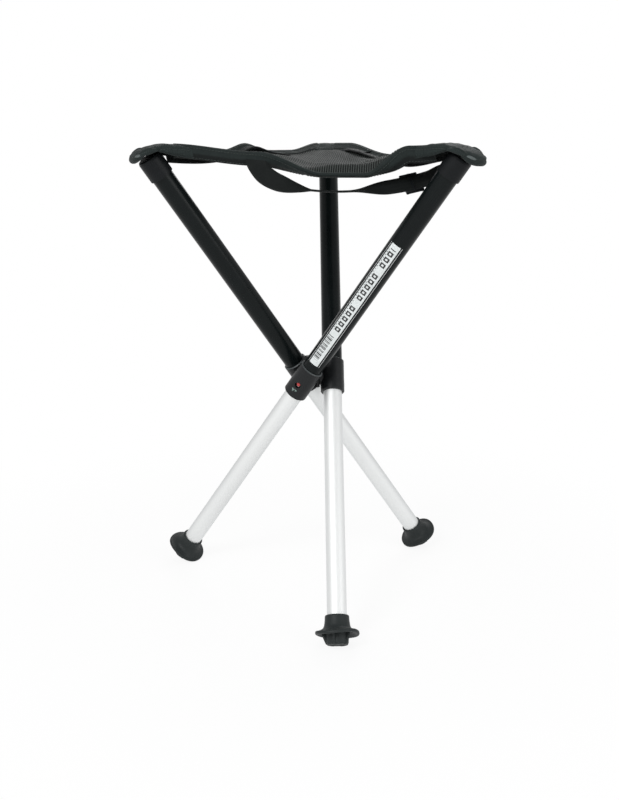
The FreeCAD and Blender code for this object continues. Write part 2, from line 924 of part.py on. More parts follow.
def slider_block(length, width, thickness, shift):
    """A block about the slider's middle, moved along the strap."""
    middle = slider_middle + slider_along * shift
    half_length = slider_along * (length / 2)
    outline = rectangle(middle - half_length, slider_wide, slider_thick, width, thickness)
    return Part.Face(outline).extrude(slider_along * length)


slider_length = size["slider_length"].value
slider_bar = size["slider_bar"].value
slider_shape = slider_block(
    slider_length, size["slider_width"].value, size["slider_thickness"].value, 0.0
)
window_length = (slider_length - 3 * slider_bar) / 2
for way in (-1, 1):
    shift = way * (slider_bar + window_length) / 2
    slot = slider_block(window_length, size["strap_width"].value + 0.6, 20.0, shift)
    slider_shape = slider_shape.cut(slot)
slider_shape = slider_shape.cut(strap_shape)
for item in band_shapes + [panel_shape, pocket_forms[1]]:
    strap_shape = strap_shape.cut(item)
    slider_shape = slider_shape.cut(item)
strap_shape = max(strap_shape.Solids, key=lambda solid: solid.Volume)
keep(free_form("strap_form", strap_shape), "carry_strap")
keep(free_form("slider_form", slider_shape), "strap_slider")

# Blank label on the first leg's upper tube
label_start = size["upper_radius"]
label_span = math.degrees(size["label_width"].value / label_start.value)
label_ring = cylinder(
    "label_ring",
    label_start + size["label_thickness"],
    size["label_bottom"],
    size["label_top"],
    Placement(Vector(), Rotation(Vector(0, 0, 1), size["label_angle"].value - label_span / 2)),
)
label_ring.Angle = label_span
label_core = cylinder(
    "label_core", label_start, size["label_bottom"] - MARGIN, size["label_top"] + MARGIN
)
keep(without("label_cut", label_ring, label_core), "label_strip", leg_place(1))

doc.recompute()
names = set()
for item in pieces:
    assert "Invalid" not in item.State and "Error" not in item.State, item.Label
    assert not item.Shape.isNull() and item.Shape.isValid(), item.Label
    assert item.Shape.Volume > 0, item.Label
    assert item.Label not in names, item.Label
    names.add(item.Label)
    item.Shape.exportStep("parts/%s.step" % item.Label)
print(len(pieces), "pieces")
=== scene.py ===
import json
import math

import bmesh
import bpy
import numpy as np
from mathutils import Matrix, Vector

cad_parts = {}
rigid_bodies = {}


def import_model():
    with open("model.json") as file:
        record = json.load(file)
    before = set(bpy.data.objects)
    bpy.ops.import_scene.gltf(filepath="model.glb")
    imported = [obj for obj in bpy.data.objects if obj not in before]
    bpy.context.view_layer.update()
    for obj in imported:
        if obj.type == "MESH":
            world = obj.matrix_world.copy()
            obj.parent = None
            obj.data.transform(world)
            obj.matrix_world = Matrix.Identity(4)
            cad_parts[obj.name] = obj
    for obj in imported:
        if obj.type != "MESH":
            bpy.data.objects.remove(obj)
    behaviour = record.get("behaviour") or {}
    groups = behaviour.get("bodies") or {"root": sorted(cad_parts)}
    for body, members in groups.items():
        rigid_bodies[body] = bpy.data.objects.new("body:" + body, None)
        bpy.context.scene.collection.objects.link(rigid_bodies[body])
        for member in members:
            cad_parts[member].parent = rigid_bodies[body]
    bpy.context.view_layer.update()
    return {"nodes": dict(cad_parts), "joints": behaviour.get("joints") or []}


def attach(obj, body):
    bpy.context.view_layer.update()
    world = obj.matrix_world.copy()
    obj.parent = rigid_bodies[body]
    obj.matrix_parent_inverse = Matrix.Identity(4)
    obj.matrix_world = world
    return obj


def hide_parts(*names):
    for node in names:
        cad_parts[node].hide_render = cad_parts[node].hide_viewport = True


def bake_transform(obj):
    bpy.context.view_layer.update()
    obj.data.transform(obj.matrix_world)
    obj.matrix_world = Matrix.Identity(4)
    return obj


# Collapsible three-legged stool: the seat's cloth, its carry strap, the rubber feet and every
# finish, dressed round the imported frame. Lengths are in millimetres until a mesh is made.

MM = 0.001
TURN = 2 * math.pi
LEGS = (1, 2, 3)
UP = np.array([0.0, 0.0, 1.0])

for leftover in list(bpy.data.objects):
    bpy.data.objects.remove(leftover)
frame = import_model()
nodes = frame["nodes"]
joints = {joint["name"]: joint for joint in frame["joints"]}


class Leg:
    """A leg's own frame, read from its joints: its pivot, the ways outward and sideways, its axis."""

    def __init__(self, number):
        fold = joints["fold_%d" % number]
        self.number = number
        self.pivot = np.array(fold["pos_m"]) / MM
        self.outward = np.array(fold["axis"])
        self.axis = np.array(joints["extend_%d" % number]["axis"])
        self.side = np.cross(self.axis, self.outward)

    def place(self, outward, side, along):
        """The pivot plus so much of each of the leg's three ways."""
        steps = np.broadcast_arrays(outward, side, along)
        ways = (self.outward, self.side, self.axis)
        return self.pivot + sum(step[..., None] * way for step, way in zip(steps, ways))

    def round(self, radius, angle, along):
        """A place at a radius and an angle about the leg's axis."""
        return self.place(radius * np.cos(angle), radius * np.sin(angle), along)

    def sleeve_top(self):
        """How far along the leg's axis its sleeve reaches."""
        sleeve = nodes["sleeve_%d" % self.number]
        spots = np.array([sleeve.matrix_world @ corner.co for corner in sleeve.data.vertices])
        return ((spots / MM - self.pivot) @ self.axis).max()


legs = {number: Leg(number) for number in LEGS}
hub_axis = sum(leg.pivot for leg in legs.values()) / 3 * np.array([1, 1, 0])


def unit(way):
    """The same way at length 1."""
    return way / np.linalg.norm(way, axis=-1, keepdims=True)


def eased(value):
    """A smooth step: 3v squared less 2v cubed, held at 0 and 1 outside."""
    value = np.clip(value, 0.0, 1.0)
    return value * value * (3 - 2 * value)


def bell(value, middle, width):
    """A bell curve: 1 at its middle, 1/e a width away from it."""
    return np.exp(-(((value - middle) / width) ** 2))


def rounded(corners, steps):
    """An outline through corners of (x, y, round): each corner becomes a quadratic curve that
    starts and ends that far from it along its two sides."""
    spots = np.array([corner[:2] for corner in corners], float)
    out = [spots[0]]
    for k in range(1, len(corners) - 1):
        before = unit(spots[k - 1] - spots[k]) * corners[k][2]
        after = unit(spots[k + 1] - spots[k]) * corners[k][2]
        share = np.linspace(0, 1, steps)[:, None]
        curve = spots[k] + before * (1 - share) ** 2 + after * share**2
        out.extend(curve if corners[k][2] else [spots[k]])
    out.append(spots[-1])
    return np.array(out)


def travelled(path):
    """How far along a path of points each of them lies."""
    return np.cumsum(np.linalg.norm(np.diff(path, axis=0, prepend=path[:1]), axis=1))


def pairs(x, y):
    """A map's two values at each spot of a grid."""
    return np.stack(np.broadcast_arrays(x, y), -1)


def placed(name, data):
    """A new object in the scene."""
    made = bpy.data.objects.new(name, data)
    bpy.context.scene.collection.objects.link(made)
    return made


class Build:
    """Grids of points gathered into one mesh."""

    def __init__(self):
        self.points = []
        self.faces = []
        self.corners = []
        self.count = 0

    def grid(self, points, loop=False, uv=None, flip=False):
        """Quads between neighbours of a grid of points. A loop joins its last column to its
        first, and uv then has one column more than the points."""
        rows, columns = points.shape[:2]
        across = columns if loop else columns - 1
        i, j = np.meshgrid(np.arange(rows - 1), np.arange(across), indexing="ij")
        around = ((0, 0), (0, 1), (1, 1), (1, 0))
        if flip:
            around = around[::-1]
        index = [self.count + (i + a) * columns + (j + b) % columns for a, b in around]
        self.faces.append(np.stack(index, -1).reshape(-1, 4))
        if uv is None:
            uv = np.zeros((rows, columns + 1, 2))
        self.corners.append(np.stack([uv[i + a, j + b] for a, b in around], -2).reshape(-1, 2))
        self.points.append(points.reshape(-1, 3))
        self.count += rows * columns
        return self

    def make(self, name, material, sharp=45.0, closed=True):
        """One object at the origin, its doubles merged and, if it is closed, its faces outward."""
        mesh = bpy.data.meshes.new(name)
        points = np.concatenate(self.points) * MM
        mesh.from_pydata(points.tolist(), [], np.concatenate(self.faces).tolist())
        layer = mesh.uv_layers.new(name="weave")
        layer.data.foreach_set("uv", np.concatenate(self.corners).astype(np.float32).ravel())
        work = bmesh.new()
        work.from_mesh(mesh)
        bmesh.ops.remove_doubles(work, verts=work.verts, dist=0.004 * MM)
        flat = [face for face in work.faces if face.calc_area() < 1e-13]
        bmesh.ops.delete(work, geom=flat, context="FACES_ONLY")
        if closed:
            rims = [edge for edge in work.edges if edge.is_boundary]
            if rims:
                bmesh.ops.holes_fill(work, edges=rims, sides=0)
            bmesh.ops.recalc_face_normals(work, faces=work.faces)
        work.to_mesh(mesh)
        work.free()
        mesh.polygons.foreach_set("use_smooth", [True] * len(mesh.polygons))
        mesh.set_sharp_from_angle(angle=math.radians(sharp))
        made = placed(name, mesh)
        mesh.materials.append(material)
        return made


def wall(piece, thickness, offset):
    """Gives a sheet its thickness."""
    solid = piece.modifiers.new("thickness", "SOLIDIFY")
    solid.thickness = thickness * MM
    solid.offset = offset


def tube(path, radius, sides=10):
    """A round tube: circles of a radius that may change, square to a path of points."""
    ahead = unit(np.gradient(path, axis=0))
    level = np.cross(ahead, UP)
    level = unit(np.where(np.abs(level).sum(-1, keepdims=True) < 1e-3, [1.0, 0.0, 0.0], level))
    over = np.cross(level, ahead)
    angle = np.linspace(0, TURN, sides, endpoint=False)
    ring = np.cos(angle)[:, None] * level[:, None] + np.sin(angle)[:, None] * over[:, None]
    radius = np.broadcast_to(radius, len(path))
    return path[:, None] + radius[:, None, None] * ring


# Shader maths
class Signal:
    """A shader output that takes part in sums; each operation adds one Math node."""

    def __init__(self, finish, socket):
        self.finish = finish
        self.socket = socket

    def maths(self, operation, *others):
        inputs = dict(enumerate((self,) + others))
        return self.finish.node("Math", {"operation": operation}, inputs)

    def __add__(self, other):
        return self.maths("ADD", other)

    __radd__ = __add__

    def __sub__(self, other):
        return self.maths("SUBTRACT", other)

    def __rsub__(self, other):
        return (self * -1.0).maths("ADD", other)

    def __mul__(self, other):
        return self.maths("MULTIPLY", other)

    __rmul__ = __mul__

    def __truediv__(self, other):
        return self.maths("DIVIDE", other)

    def __abs__(self):
        return self.maths("ABSOLUTE")

    def below(self, limit):
        """1 where the value is under the limit, else 0."""
        return self.maths("LESS_THAN", limit)

    def above(self, limit):
        """1 where the value is over the limit, else 0."""
        return self.maths("GREATER_THAN", limit)

    def wave(self):
        """The sine of the value."""
        return self.maths("SINE")

    def repeat(self, pitch):
        """The distance to the nearest whole number of pitches, from 0 to half a pitch."""
        return abs(self.maths("WRAP", pitch / 2, -pitch / 2))

    def step(self, low, high):
        """A smooth step of the value from low to high."""
        settings = {"interpolation_type": "SMOOTHSTEP"}
        inputs = {"Value": self, "From Min": low, "From Max": high}
        return self.finish.node("MapRange", settings, inputs)


class Nodes:
    """A node tree and the ways to add to it."""

    def __init__(self, tree):
        self.tree = tree

    def feed(self, socket, value):
        """Links a signal to a socket, or writes a plain value there."""
        if isinstance(value, Signal):
            self.tree.links.new(value.socket, socket)
        else:
            socket.default_value = value

    def node(self, kind, settings, inputs, output=0):
        """Adds a shader node of a kind, sets it up, feeds it and gives one of its outputs."""
        made = self.tree.nodes.new("ShaderNode" + kind)
        for key, value in settings.items():
            setattr(made, key, value)
        for key, value in inputs.items():
            self.feed(made.inputs[key], value)
        return Signal(self, made.outputs[output])


class Finish(Nodes):
    """A material in the making: one Principled surface and the nodes that feed it."""

    def __init__(self, name, color, roughness, **plain):
        self.material = bpy.data.materials.new(name)
        self.material.use_nodes = True
        super().__init__(self.material.node_tree)
        self.surface = self.tree.nodes["Principled BSDF"]
        self.set(Base_Color=(*color, 1.0), Roughness=roughness, **plain)

    def set(self, **values):
        """Feeds the surface's own sockets, their spaces written as underscores."""
        for key, value in values.items():
            self.feed(self.surface.inputs[key.replace("_", " ")], value)

    def coordinates(self):
        """The piece's own place, as a vector in metres."""
        return self.node("TexCoord", {}, {}, "Object")

    def cloth_coordinates(self):
        """Two distances along the cloth, in millimetres, from the piece's own map."""
        place = self.node("UVMap", {"uv_map": "weave"}, {})
        both = [self.node("SeparateXYZ", {}, {0: place}, k) for k in range(2)]
        return both[0], both[1], place

    def along(self, way, origin):
        """The distance in millimetres from an origin, along a way."""
        inputs = {0: self.coordinates(), 1: tuple(origin * MM)}
        shifted = self.node("VectorMath", {"operation": "SUBTRACT"}, inputs)
        inputs = {0: shifted, 1: tuple(way / MM)}
        return self.node("VectorMath", {"operation": "DOT_PRODUCT"}, inputs, "Value")

    def leg_places(self, leg):
        """Distances from a leg's pivot: along its axis, outward and sideways."""
        return [self.along(way, leg.pivot) for way in (leg.axis, leg.outward, leg.side)]

    def noise(self, place, scale, detail=3.0, rough=0.55):
        """Cloudy noise about one half."""
        inputs = {"Vector": place, "Scale": scale, "Detail": detail, "Roughness": rough}
        return self.node("TexNoise", {}, inputs)

    def joined(self, x, y, z=0.0):
        """Three values as a vector."""
        return self.node("CombineXYZ", {}, {0: x, 1: y, 2: z})

    def mix(self, share, first, second):
        """From the first colour to the second."""
        first, second = (
            (*color, 1.0) if isinstance(color, tuple) else color for color in (first, second)
        )
        settings = {"data_type": "RGBA"}
        return self.node("Mix", settings, {0: share, 6: first, 7: second}, 2)

    def paint(self, share, first, second):
        """The surface's own colour, from the first to the second."""
        self.set(Base_Color=self.mix(share, first, second))

    def bump(self, height, distance, strength=1.0):
        """A relief of the surface, in millimetres."""
        inputs = {"Height": height, "Distance": distance * MM, "Strength": strength}
        self.set(Normal=self.node("Bump", {}, inputs))


def tube_finish(leg):
    """Black anodised tube: dark satin, faint lines from drawing, slight handling marks."""
    finish = Finish("black_tube_%d" % leg.number, (0.006, 0.008, 0.008), 0.36)
    finish.set(Specular_IOR_Level=0.14)
    height, out, side = finish.leg_places(leg)
    lines = finish.noise(finish.joined(out * 2.2, side * 2.2, height * 0.02), 1.0)
    clouds = finish.noise(finish.coordinates(), 28.0)
    finish.set(Roughness=0.2 + 0.06 * lines + 0.08 * clouds)
    base = finish.mix(clouds, (0.003, 0.0045, 0.0047), (0.006, 0.0085, 0.0088))
    return finish, base, height, out, side


def bright_finish(leg):
    """Bright satin tube: drawn lengthwise, with fine lines and a little haze."""
    finish = Finish("bright_tube_%d" % leg.number, (0.83, 0.84, 0.84), 0.46, Metallic=1.0)
    finish.set(Specular_Tint=(0.62, 0.64, 0.66, 1.0))
    height, out, side = finish.leg_places(leg)
    lines = finish.noise(finish.joined(out * 3.0, side * 3.0, height * 0.012), 1.0, 4.0)
    clouds = finish.noise(finish.coordinates(), 22.0)
    finish.set(Roughness=0.58 + 0.04 * lines + 0.05 * clouds)
    tone = 0.6 * lines + 0.4 * clouds
    finish.paint(tone, (0.83, 0.845, 0.845), (0.91, 0.915, 0.91))
    return finish.material


# Moulded pieces: the darkest and the lightest tone of each
SLEEVE_TONES = (0.0055, 0.0065, 0.0075), (0.01, 0.0115, 0.0125)
HUB_TONES = (0.0055, 0.0065, 0.007), (0.01, 0.011, 0.012)
RUBBER_TONES = (0.011, 0.0145, 0.015), (0.02, 0.025, 0.025)
MARK_TONES = (0.11, 0.19, 0.16), (0.3, 0.36, 0.34)


def moulded_finish(name, tones, roughness, grain=900.0, relief=0.05, specular=0.28):
    """Moulded plastic or rubber: a fine grain, with soft clouds in its tone."""
    finish = Finish(name, tones[0], roughness)
    finish.set(Specular_IOR_Level=specular)
    place = finish.coordinates()
    fine = finish.noise(place, grain, 2.0)
    clouds = finish.noise(place, 45.0)
    finish.set(Roughness=(roughness - 0.08) + 0.1 * clouds + 0.06 * fine)
    finish.paint(clouds, *tones)
    finish.bump(fine, relief, 0.6)
    return finish


RIM_HIGHLIGHT_WIDTH = 1.1


def sleeve_finish(leg):
    """The sleeve's moulded plastic, with a painted highlight: a thin paler line round its upper rim,
    where its edge would catch the light.
    """
    finish = moulded_finish("sleeve_plastic_%d" % leg.number, SLEEVE_TONES, 0.42)
    height = finish.along(leg.axis, leg.pivot)
    # Painted highlight: a thin paler line along the sleeve's upper rim
    rim = height.step(leg.sleeve_top() - RIM_HIGHLIGHT_WIDTH, leg.sleeve_top() - RIM_HIGHLIGHT_WIDTH / 2)
    base = Signal(finish, finish.surface.inputs["Base Color"].links[0].from_socket)
    finish.paint(rim, base, (0.06, 0.068, 0.07))
    return finish.material


def steel_finish():
    """Plain steel with fine turning marks."""
    finish = Finish("steel_turned", (0.55, 0.56, 0.57), 0.34, Metallic=1.0)
    fine = finish.noise(finish.coordinates(), 700.0, 2.0)
    finish.set(Roughness=0.26 + 0.16 * fine)
    finish.bump(fine, 0.02, 0.4)
    return finish.material


MESH_PITCH = 2.6
MESH_STEP = 1.7


def mesh_finish():
    """Open seat mesh: pale ribs run front to back, joined by cross threads between small holes."""
    finish = Finish("seat_mesh_weave", (0.02, 0.022, 0.022), 0.72, Specular_IOR_Level=0.15)
    across, along, place = finish.cloth_coordinates()
    sway = finish.noise(place, 0.05, 2.0)
    across = across + 0.5 * sway
    rib = (0.5 * MESH_PITCH - across.repeat(MESH_PITCH)) / (0.5 * MESH_PITCH)
    rib = rib.step(0.42, 0.8)
    row = (across / MESH_PITCH).maths("FLOOR")
    shifted = along + row * (0.5 * MESH_STEP)
    thread = (0.5 * MESH_STEP - shifted.repeat(MESH_STEP)) / (0.5 * MESH_STEP)
    thread = thread.step(0.2, 0.75)
    twist = (along * (TURN / 0.9) + across * 3.0).wave() * 0.5 + 0.5
    solid = rib.maths("MAXIMUM", thread * 0.62)
    wear = finish.noise(place, 0.035, 2.0)
    thread_tone = finish.mix(wear, (0.009, 0.011, 0.0105), (0.018, 0.022, 0.021))
    rib_tone = finish.mix(twist * 0.6 + wear * 0.4, (0.028, 0.033, 0.031), (0.085, 0.095, 0.09))
    color = finish.mix(solid, (0.0015, 0.002, 0.002), thread_tone)
    finish.paint(rib, color, rib_tone)
    finish.bump(solid * 0.8 + rib * twist * 0.2, 0.45, 0.9)
    return finish.material


THREAD_PITCH = 0.75


def band_finish(name, dark, light, crease=None, ribs=0.0):
    """Woven binding: fine crossed threads, a soft sheen and clouds of wear. Past a crease across
    it the cloth is painted darker, as painted shade on the part turned under; ribs stand up from it
    at a pitch of their own."""
    finish = Finish(name, dark, 0.7, Specular_IOR_Level=0.2)
    finish.set(Sheen_Weight=0.06, Sheen_Roughness=0.45)
    across, along, place = finish.cloth_coordinates()
    warp = ((across + along) * (TURN / THREAD_PITCH)).wave()
    weft = ((across - along) * (TURN / THREAD_PITCH)).wave()
    weave = (warp * weft) * 0.5 + 0.5
    wear = finish.noise(place, 0.06, 4.0)
    color = finish.mix(wear * 0.7 + weave * 0.3, dark, light)
    relief = weave + 0.8 * wear
    if crease is not None:
        # Painted shade: the cloth past the crease, turned under, is darkened
        under = across.step(crease, crease + 3.0)
        color = finish.mix(under * 0.75, color, tuple(0.3 * tone for tone in dark))
    if ribs:
        rib = (across * (TURN / ribs)).wave() * 0.5 + 0.5
        color = finish.mix(rib * 0.45, color, tuple(1.6 * tone for tone in light))
        relief = relief + 2.5 * rib
    finish.set(Base_Color=color)
    finish.set(Roughness=0.62 + 0.16 * weave)
    finish.bump(relief, 0.16, 0.8)
    return finish.material


def webbing_finish():
    """Strap webbing: raised ribs across it in a chevron, with tight selvedges."""
    finish = Finish("strap_webbing", (0.005, 0.006, 0.006), 0.68, Specular_IOR_Level=0.18)
    across, along, place = finish.cloth_coordinates()
    chevron = across.repeat(6.2) * 0.9
    rib = ((along + chevron) * (TURN / 1.5)).wave() * 0.5 + 0.5
    line = (across * (TURN / 1.1)).wave() * 0.5 + 0.5
    weave = rib * 0.7 + line * 0.3
    wear = finish.noise(place, 0.07, 3.0)
    tone = weave * 0.6 + wear * 0.4
    finish.paint(tone, (0.0025, 0.0035, 0.0035), (0.011, 0.0135, 0.013))
    finish.bump(weave, 0.22, 0.9)
    return finish.material


def thread_finish():
    """Sewing thread, twisted, a little paler than the cloth."""
    finish = Finish("sewing_thread", (0.03, 0.037, 0.035), 0.6, Specular_IOR_Level=0.25)
    across, along, _ = finish.cloth_coordinates()
    twist = (along * (TURN / 0.5) + across * 2.0).wave() * 0.5 + 0.5
    finish.paint(twist, (0.018, 0.024, 0.023), (0.05, 0.06, 0.056))
    return finish.material


LABEL_LOW, LABEL_HIGH = 32.5, 213.0
LABEL_ANGLE = 7.0
LABEL_HALF = 6.0
LADDER_START, LADDER_END = 7.0, 45.0
SCALE_START, SCALE_STEP = 52.0, 8.0
RULE_DISTANCE = 8.2
TUBE_RADIUS = 12.5


def label_distance(out, side):
    """The distance round the tube from the label's middle line."""
    angle = side.maths("ARCTAN2", out) - math.radians(LABEL_ANGLE)
    return angle * TUBE_RADIUS


def label_finish(leg):
    """White printed film: a plain ladder of bars at its lower end, then a length scale with
    bold blocks at every second division."""
    finish = Finish("label_film", (0.82, 0.82, 0.81), 0.32)
    finish.set(Coat_Weight=0.3, Coat_Roughness=0.15)
    height, out, side = finish.leg_places(leg)
    sideways = label_distance(out, side)
    from_edge = sideways + LABEL_HALF
    start = height - LABEL_LOW
    ladder = (start * 2.9).wave() + (start * 4.7 + 1.0).wave() + (start * 1.3).wave()
    ladder = ladder.above(0.15) * start.above(LADDER_START) * start.below(LADDER_END)
    ladder = ladder * from_edge.below(8.2)
    block = start.repeat(SCALE_STEP).below(2.7) * start.repeat(6 * SCALE_STEP).above(5.0)
    block = block * from_edge.above(2.6) * from_edge.below(9.4) * start.above(SCALE_START)
    hollow = start.repeat(SCALE_STEP).below(1.1) * from_edge.above(4.6) * from_edge.below(7.4)
    block = block * (1.0 - hollow)
    strokes = start.repeat(SCALE_STEP / 2).below(0.42) * from_edge.below(2.0)
    strokes = strokes * start.above(SCALE_START)
    ink = ladder.maths("MAXIMUM", block).maths("MAXIMUM", strokes)
    ink = ink * from_edge.above(0.6) * start.below(LABEL_HIGH - LABEL_LOW - 6.0)
    wear = finish.noise(finish.coordinates(), 120.0)
    paper = finish.mix(wear, (0.6, 0.64, 0.64), (0.76, 0.79, 0.79))
    finish.paint(ink, paper, (0.012, 0.013, 0.014))
    return finish.material


def button_finish():
    """Red moulded button with a soft gloss."""
    finish = Finish("lock_button_red", (0.5, 0.045, 0.045), 0.35)
    clouds = finish.noise(finish.coordinates(), 300.0)
    finish.paint(clouds, (0.42, 0.03, 0.035), (0.62, 0.09, 0.08))
    return finish.material


plastic = moulded_finish("cap_plastic", SLEEVE_TONES, 0.42, specular=0.13).material
hub_plastic = moulded_finish("hub_plastic", HUB_TONES, 0.48).material
rubber = moulded_finish("foot_rubber", RUBBER_TONES, 0.55, 600.0, 0.08).material
mark_paint = moulded_finish("mark_paint", MARK_TONES, 0.5, 700.0, 0.02).material
steel = steel_finish()
button_red = button_finish()
mesh_cloth = mesh_finish()
BAND_TONES = (0.0055, 0.009, 0.0088), (0.016, 0.0235, 0.0225)
# The edge bands carry painted shade past their crease
band_cloth = band_finish("band_weave", *BAND_TONES, crease=21.0)
hem_cloth = band_finish("hem_weave", *BAND_TONES)
pocket_cloth = band_finish("pocket_weave", *BAND_TONES, ribs=1.9)
# Pale lining cloth, a painted highlight on the pocket hood's fold
lining_highlight_cloth = band_finish("lining_highlight_weave", (0.05, 0.06, 0.06), (0.13, 0.15, 0.15))
webbing = webbing_finish()
thread = thread_finish()


def finish_node(name, material):
    """Gives a frame piece its finish."""
    for holder in nodes[name].material_slots:
        holder.material = material


# Rubber feet
FOOT_OUTLINE = (
    (11.35, -296.0, 0.0),
    (11.35, -294.3, 0.3),
    (13.7, -294.0, 1.8),
    (14.3, -303.0, 4.0),
    (15.6, -308.8, 3.2),
    (19.5, -311.2, 3.0),
    (23.2, -312.4, 1.0),
    (24.9, -312.5, 1.1),
    (25.1, -315.9, 1.3),
    (22.4, -316.3, 1.2),
    (18.0, -313.9, 2.5),
    (13.6, -312.6, 1.6),
    (12.9, -316.0, 2.0),
    (12.7, -325.6, 2.0),
    (11.6, -327.0, 0.9),
    (9.0, -327.0, 0.5),
    (8.4, -326.2, 0.5),
    (5.2, -326.2, 0.5),
    (4.6, -327.0, 0.5),
    (0.0, -327.0, 0.0),
)
FOOT_SHARE = 192
BRIM_START, BRIM_END = 15.5, 24.9
RIB_COUNT = 5
RIB_ROOT = 10.5
RIB_HALF_WIDTH = 1.5
RIB_LOW, RIB_HIGH = -326.6, -312.9
RIB_FOOT_RADIUS, RIB_TOP_RADIUS = 12.9, 18.6


def on_floor(points):
    """Rubber that would pass the floor lies flat on it."""
    flat = points.copy()
    flat[..., 2] = np.maximum(flat[..., 2], 0.0)
    return flat


def foot(leg):
    """A turned outline: each of its points goes round the leg's axis, the brim waved by sines
    that grow with its radius. Each rib is a half ellipse that widens as it climbs."""
    outline = rounded(FOOT_OUTLINE, 6)
    angle = np.linspace(0, TURN, FOOT_SHARE, endpoint=False)
    radius = outline[:, :1]
    outer = eased((radius - BRIM_START) / (BRIM_END - BRIM_START))
    wave = 0.9 * np.sin(2 * angle + 0.6 + leg.number) + 0.5 * np.sin(3 * angle + 2.1 * leg.number)
    height = outline[:, 1:] + outer * (wave - 0.2)
    build = Build()
    build.grid(on_floor(leg.round(radius, angle, height)), loop=True)
    for k in range(RIB_COUNT):
        way = TURN * k / RIB_COUNT + math.pi
        share = np.linspace(0, 1, 12)[:, None]
        top = RIB_FOOT_RADIUS + (RIB_TOP_RADIUS - RIB_FOOT_RADIUS) * share**0.85
        part = np.linspace(-math.pi / 2, math.pi / 2, 15)
        out = RIB_ROOT + (top - RIB_ROOT) * np.cos(part) ** 0.5
        beside = RIB_HALF_WIDTH * np.sin(part) + 0 * share
        level = RIB_LOW + (RIB_HIGH - RIB_LOW) * share + 0 * part
        cap = RIB_ROOT + 0 * out[:1]
        out = np.concatenate([cap, out, cap])
        beside, level = (np.concatenate([v[:1], v, v[-1:]]) for v in (beside, level))
        x = out * math.cos(way) - beside * math.sin(way)
        y = out * math.sin(way) + beside * math.cos(way)
        build.grid(on_floor(leg.place(x, y, level)))
    made = build.make("rubber_foot_%d" % leg.number, rubber, 50.0)
    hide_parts("foot_%d" % leg.number)
    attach(made, "shaft_%d" % leg.number)


# Seat
CORNER_REACH = 214.0
CORNER_HEIGHT = 550.0
UPPER_TUBE_TOP = 327.5
EDGE_BOW = 26.0
CENTRE_DROP = 4.0
GUTTER_DEPTH = 7.0
GUTTER_WIDTH = 9.0
ROLL_DEPTH = 12.0
ROLL_WIDTH = 11.0
SEAT_EDGES = ((1, 3), (3, 2), (2, 1))
CUT_SHARE = 0.82
FOLD_RISE, FOLD_PLACE, FOLD_WIDTH = 0.9, 0.62, 0.16
FLAT_HEIGHT, FULL_HEIGHT = 520.0, 550.0


def corner_way(leg):
    """The level way from the hub's axis to a leg's top."""
    way = leg.place(0.0, 0.0, UPPER_TUBE_TOP) - hub_axis
    return unit(way * np.array([1, 1, 0]))


ways = {number: corner_way(legs[number]) for number in LEGS}
corners = {k: hub_axis + CORNER_REACH * ways[k] + CORNER_HEIGHT * UP for k in LEGS}
seat_middle = sum(corners.values()) / 3
side_length = np.linalg.norm(corners[1] - corners[3])
seat_depth = side_length * math.sqrt(0.75)
inward = {pair: unit(seat_middle - (corners[pair[0]] + corners[pair[1]]) / 2) for pair in SEAT_EDGES}


def edge_roll(pair, part):
    """How far the front edge is rolled under where its band lies flat: a rise and a fall, each a
    smooth step along the edge."""
    if pair != (1, 3):
        return 0 * part
    return ROLL_DEPTH * eased((part - 0.2) / 0.12) * (1 - eased((part - 0.4) / 0.15))


def edge_drop(pair, part):
    """How far an edge hangs under its corners: smooth steps down and up again, with one pucker,
    a bell curve, on the left edge."""
    if pair == (1, 3):
        low = 9 * (1 - eased((part - 0.64) / 0.26)) + 23 * (1 - eased((part - 0.44) / 0.2))
        middle = eased((part - 0.19) / 0.13)
        return low * middle + 3 * eased((part - 0.04) / 0.14) * (1 - middle)
    if pair == (3, 2):
        low = 8.5 * eased(part / 0.3) * (1 - eased((part - 0.68) / 0.2))
        return low - 8.5 * bell(part, 0.43, 0.065)
    return 13 * eased((part - 0.3) / 0.32) * (1 - eased((part - 0.72) / 0.2))


def edge_shift(pair, part):
    """How far an edge lies off the line between its corners: inward by a parabola, and down."""
    bow = 4 * part * (1 - part) * EDGE_BOW
    return bow[..., None] * inward[pair] - edge_drop(pair, part)[..., None] * UP


def seat_point(shares):
    """The sheet at shares of its three corners: their weighted sum, plus each edge's shift times
    the cube of its two shares, less a gutter inside the rim, which fades out towards the flat
    height, plus folds that run to the corners. A rolled edge rises from its rim by a bell curve of
    the distance."""
    point = sum(shares[..., k - 1, None] * corners[k] for k in LEGS)
    for start, end in SEAT_EDGES:
        both = shares[..., start - 1] + shares[..., end - 1]
        part = shares[..., end - 1] / np.maximum(both, 1e-9)
        point = point + edge_shift((start, end), part) * both[..., None] ** 3
        beyond = 1 - bell((1 - both) * seat_depth, 0, ROLL_WIDTH)
        rise = edge_roll((start, end), part) * beyond * both**3
        point = point + rise[..., None] * UP
    product = np.prod(shares, axis=-1)
    from_rim = np.min(shares, axis=-1) * seat_depth
    rise = np.clip((point[..., 2] - FLAT_HEIGHT) / (FULL_HEIGHT - FLAT_HEIGHT), 0.0, 1.0)
    gutter = GUTTER_DEPTH * rise * (1 - bell(from_rim, 0, GUTTER_WIDTH))
    lift = -27 * product * CENTRE_DROP - gutter
    for number in LEGS:
        near = shares[..., number - 1]
        first, second = (shares[..., k - 1] for k in LEGS if k != number)
        across = (first - second) / np.maximum(first + second, 1e-9)
        reach = bell(near, FOLD_PLACE, FOLD_WIDTH)
        lift = lift + FOLD_RISE * reach * (1 - across**2) * np.cos(3.2 * math.pi * across + number)
    return point + lift[..., None] * UP


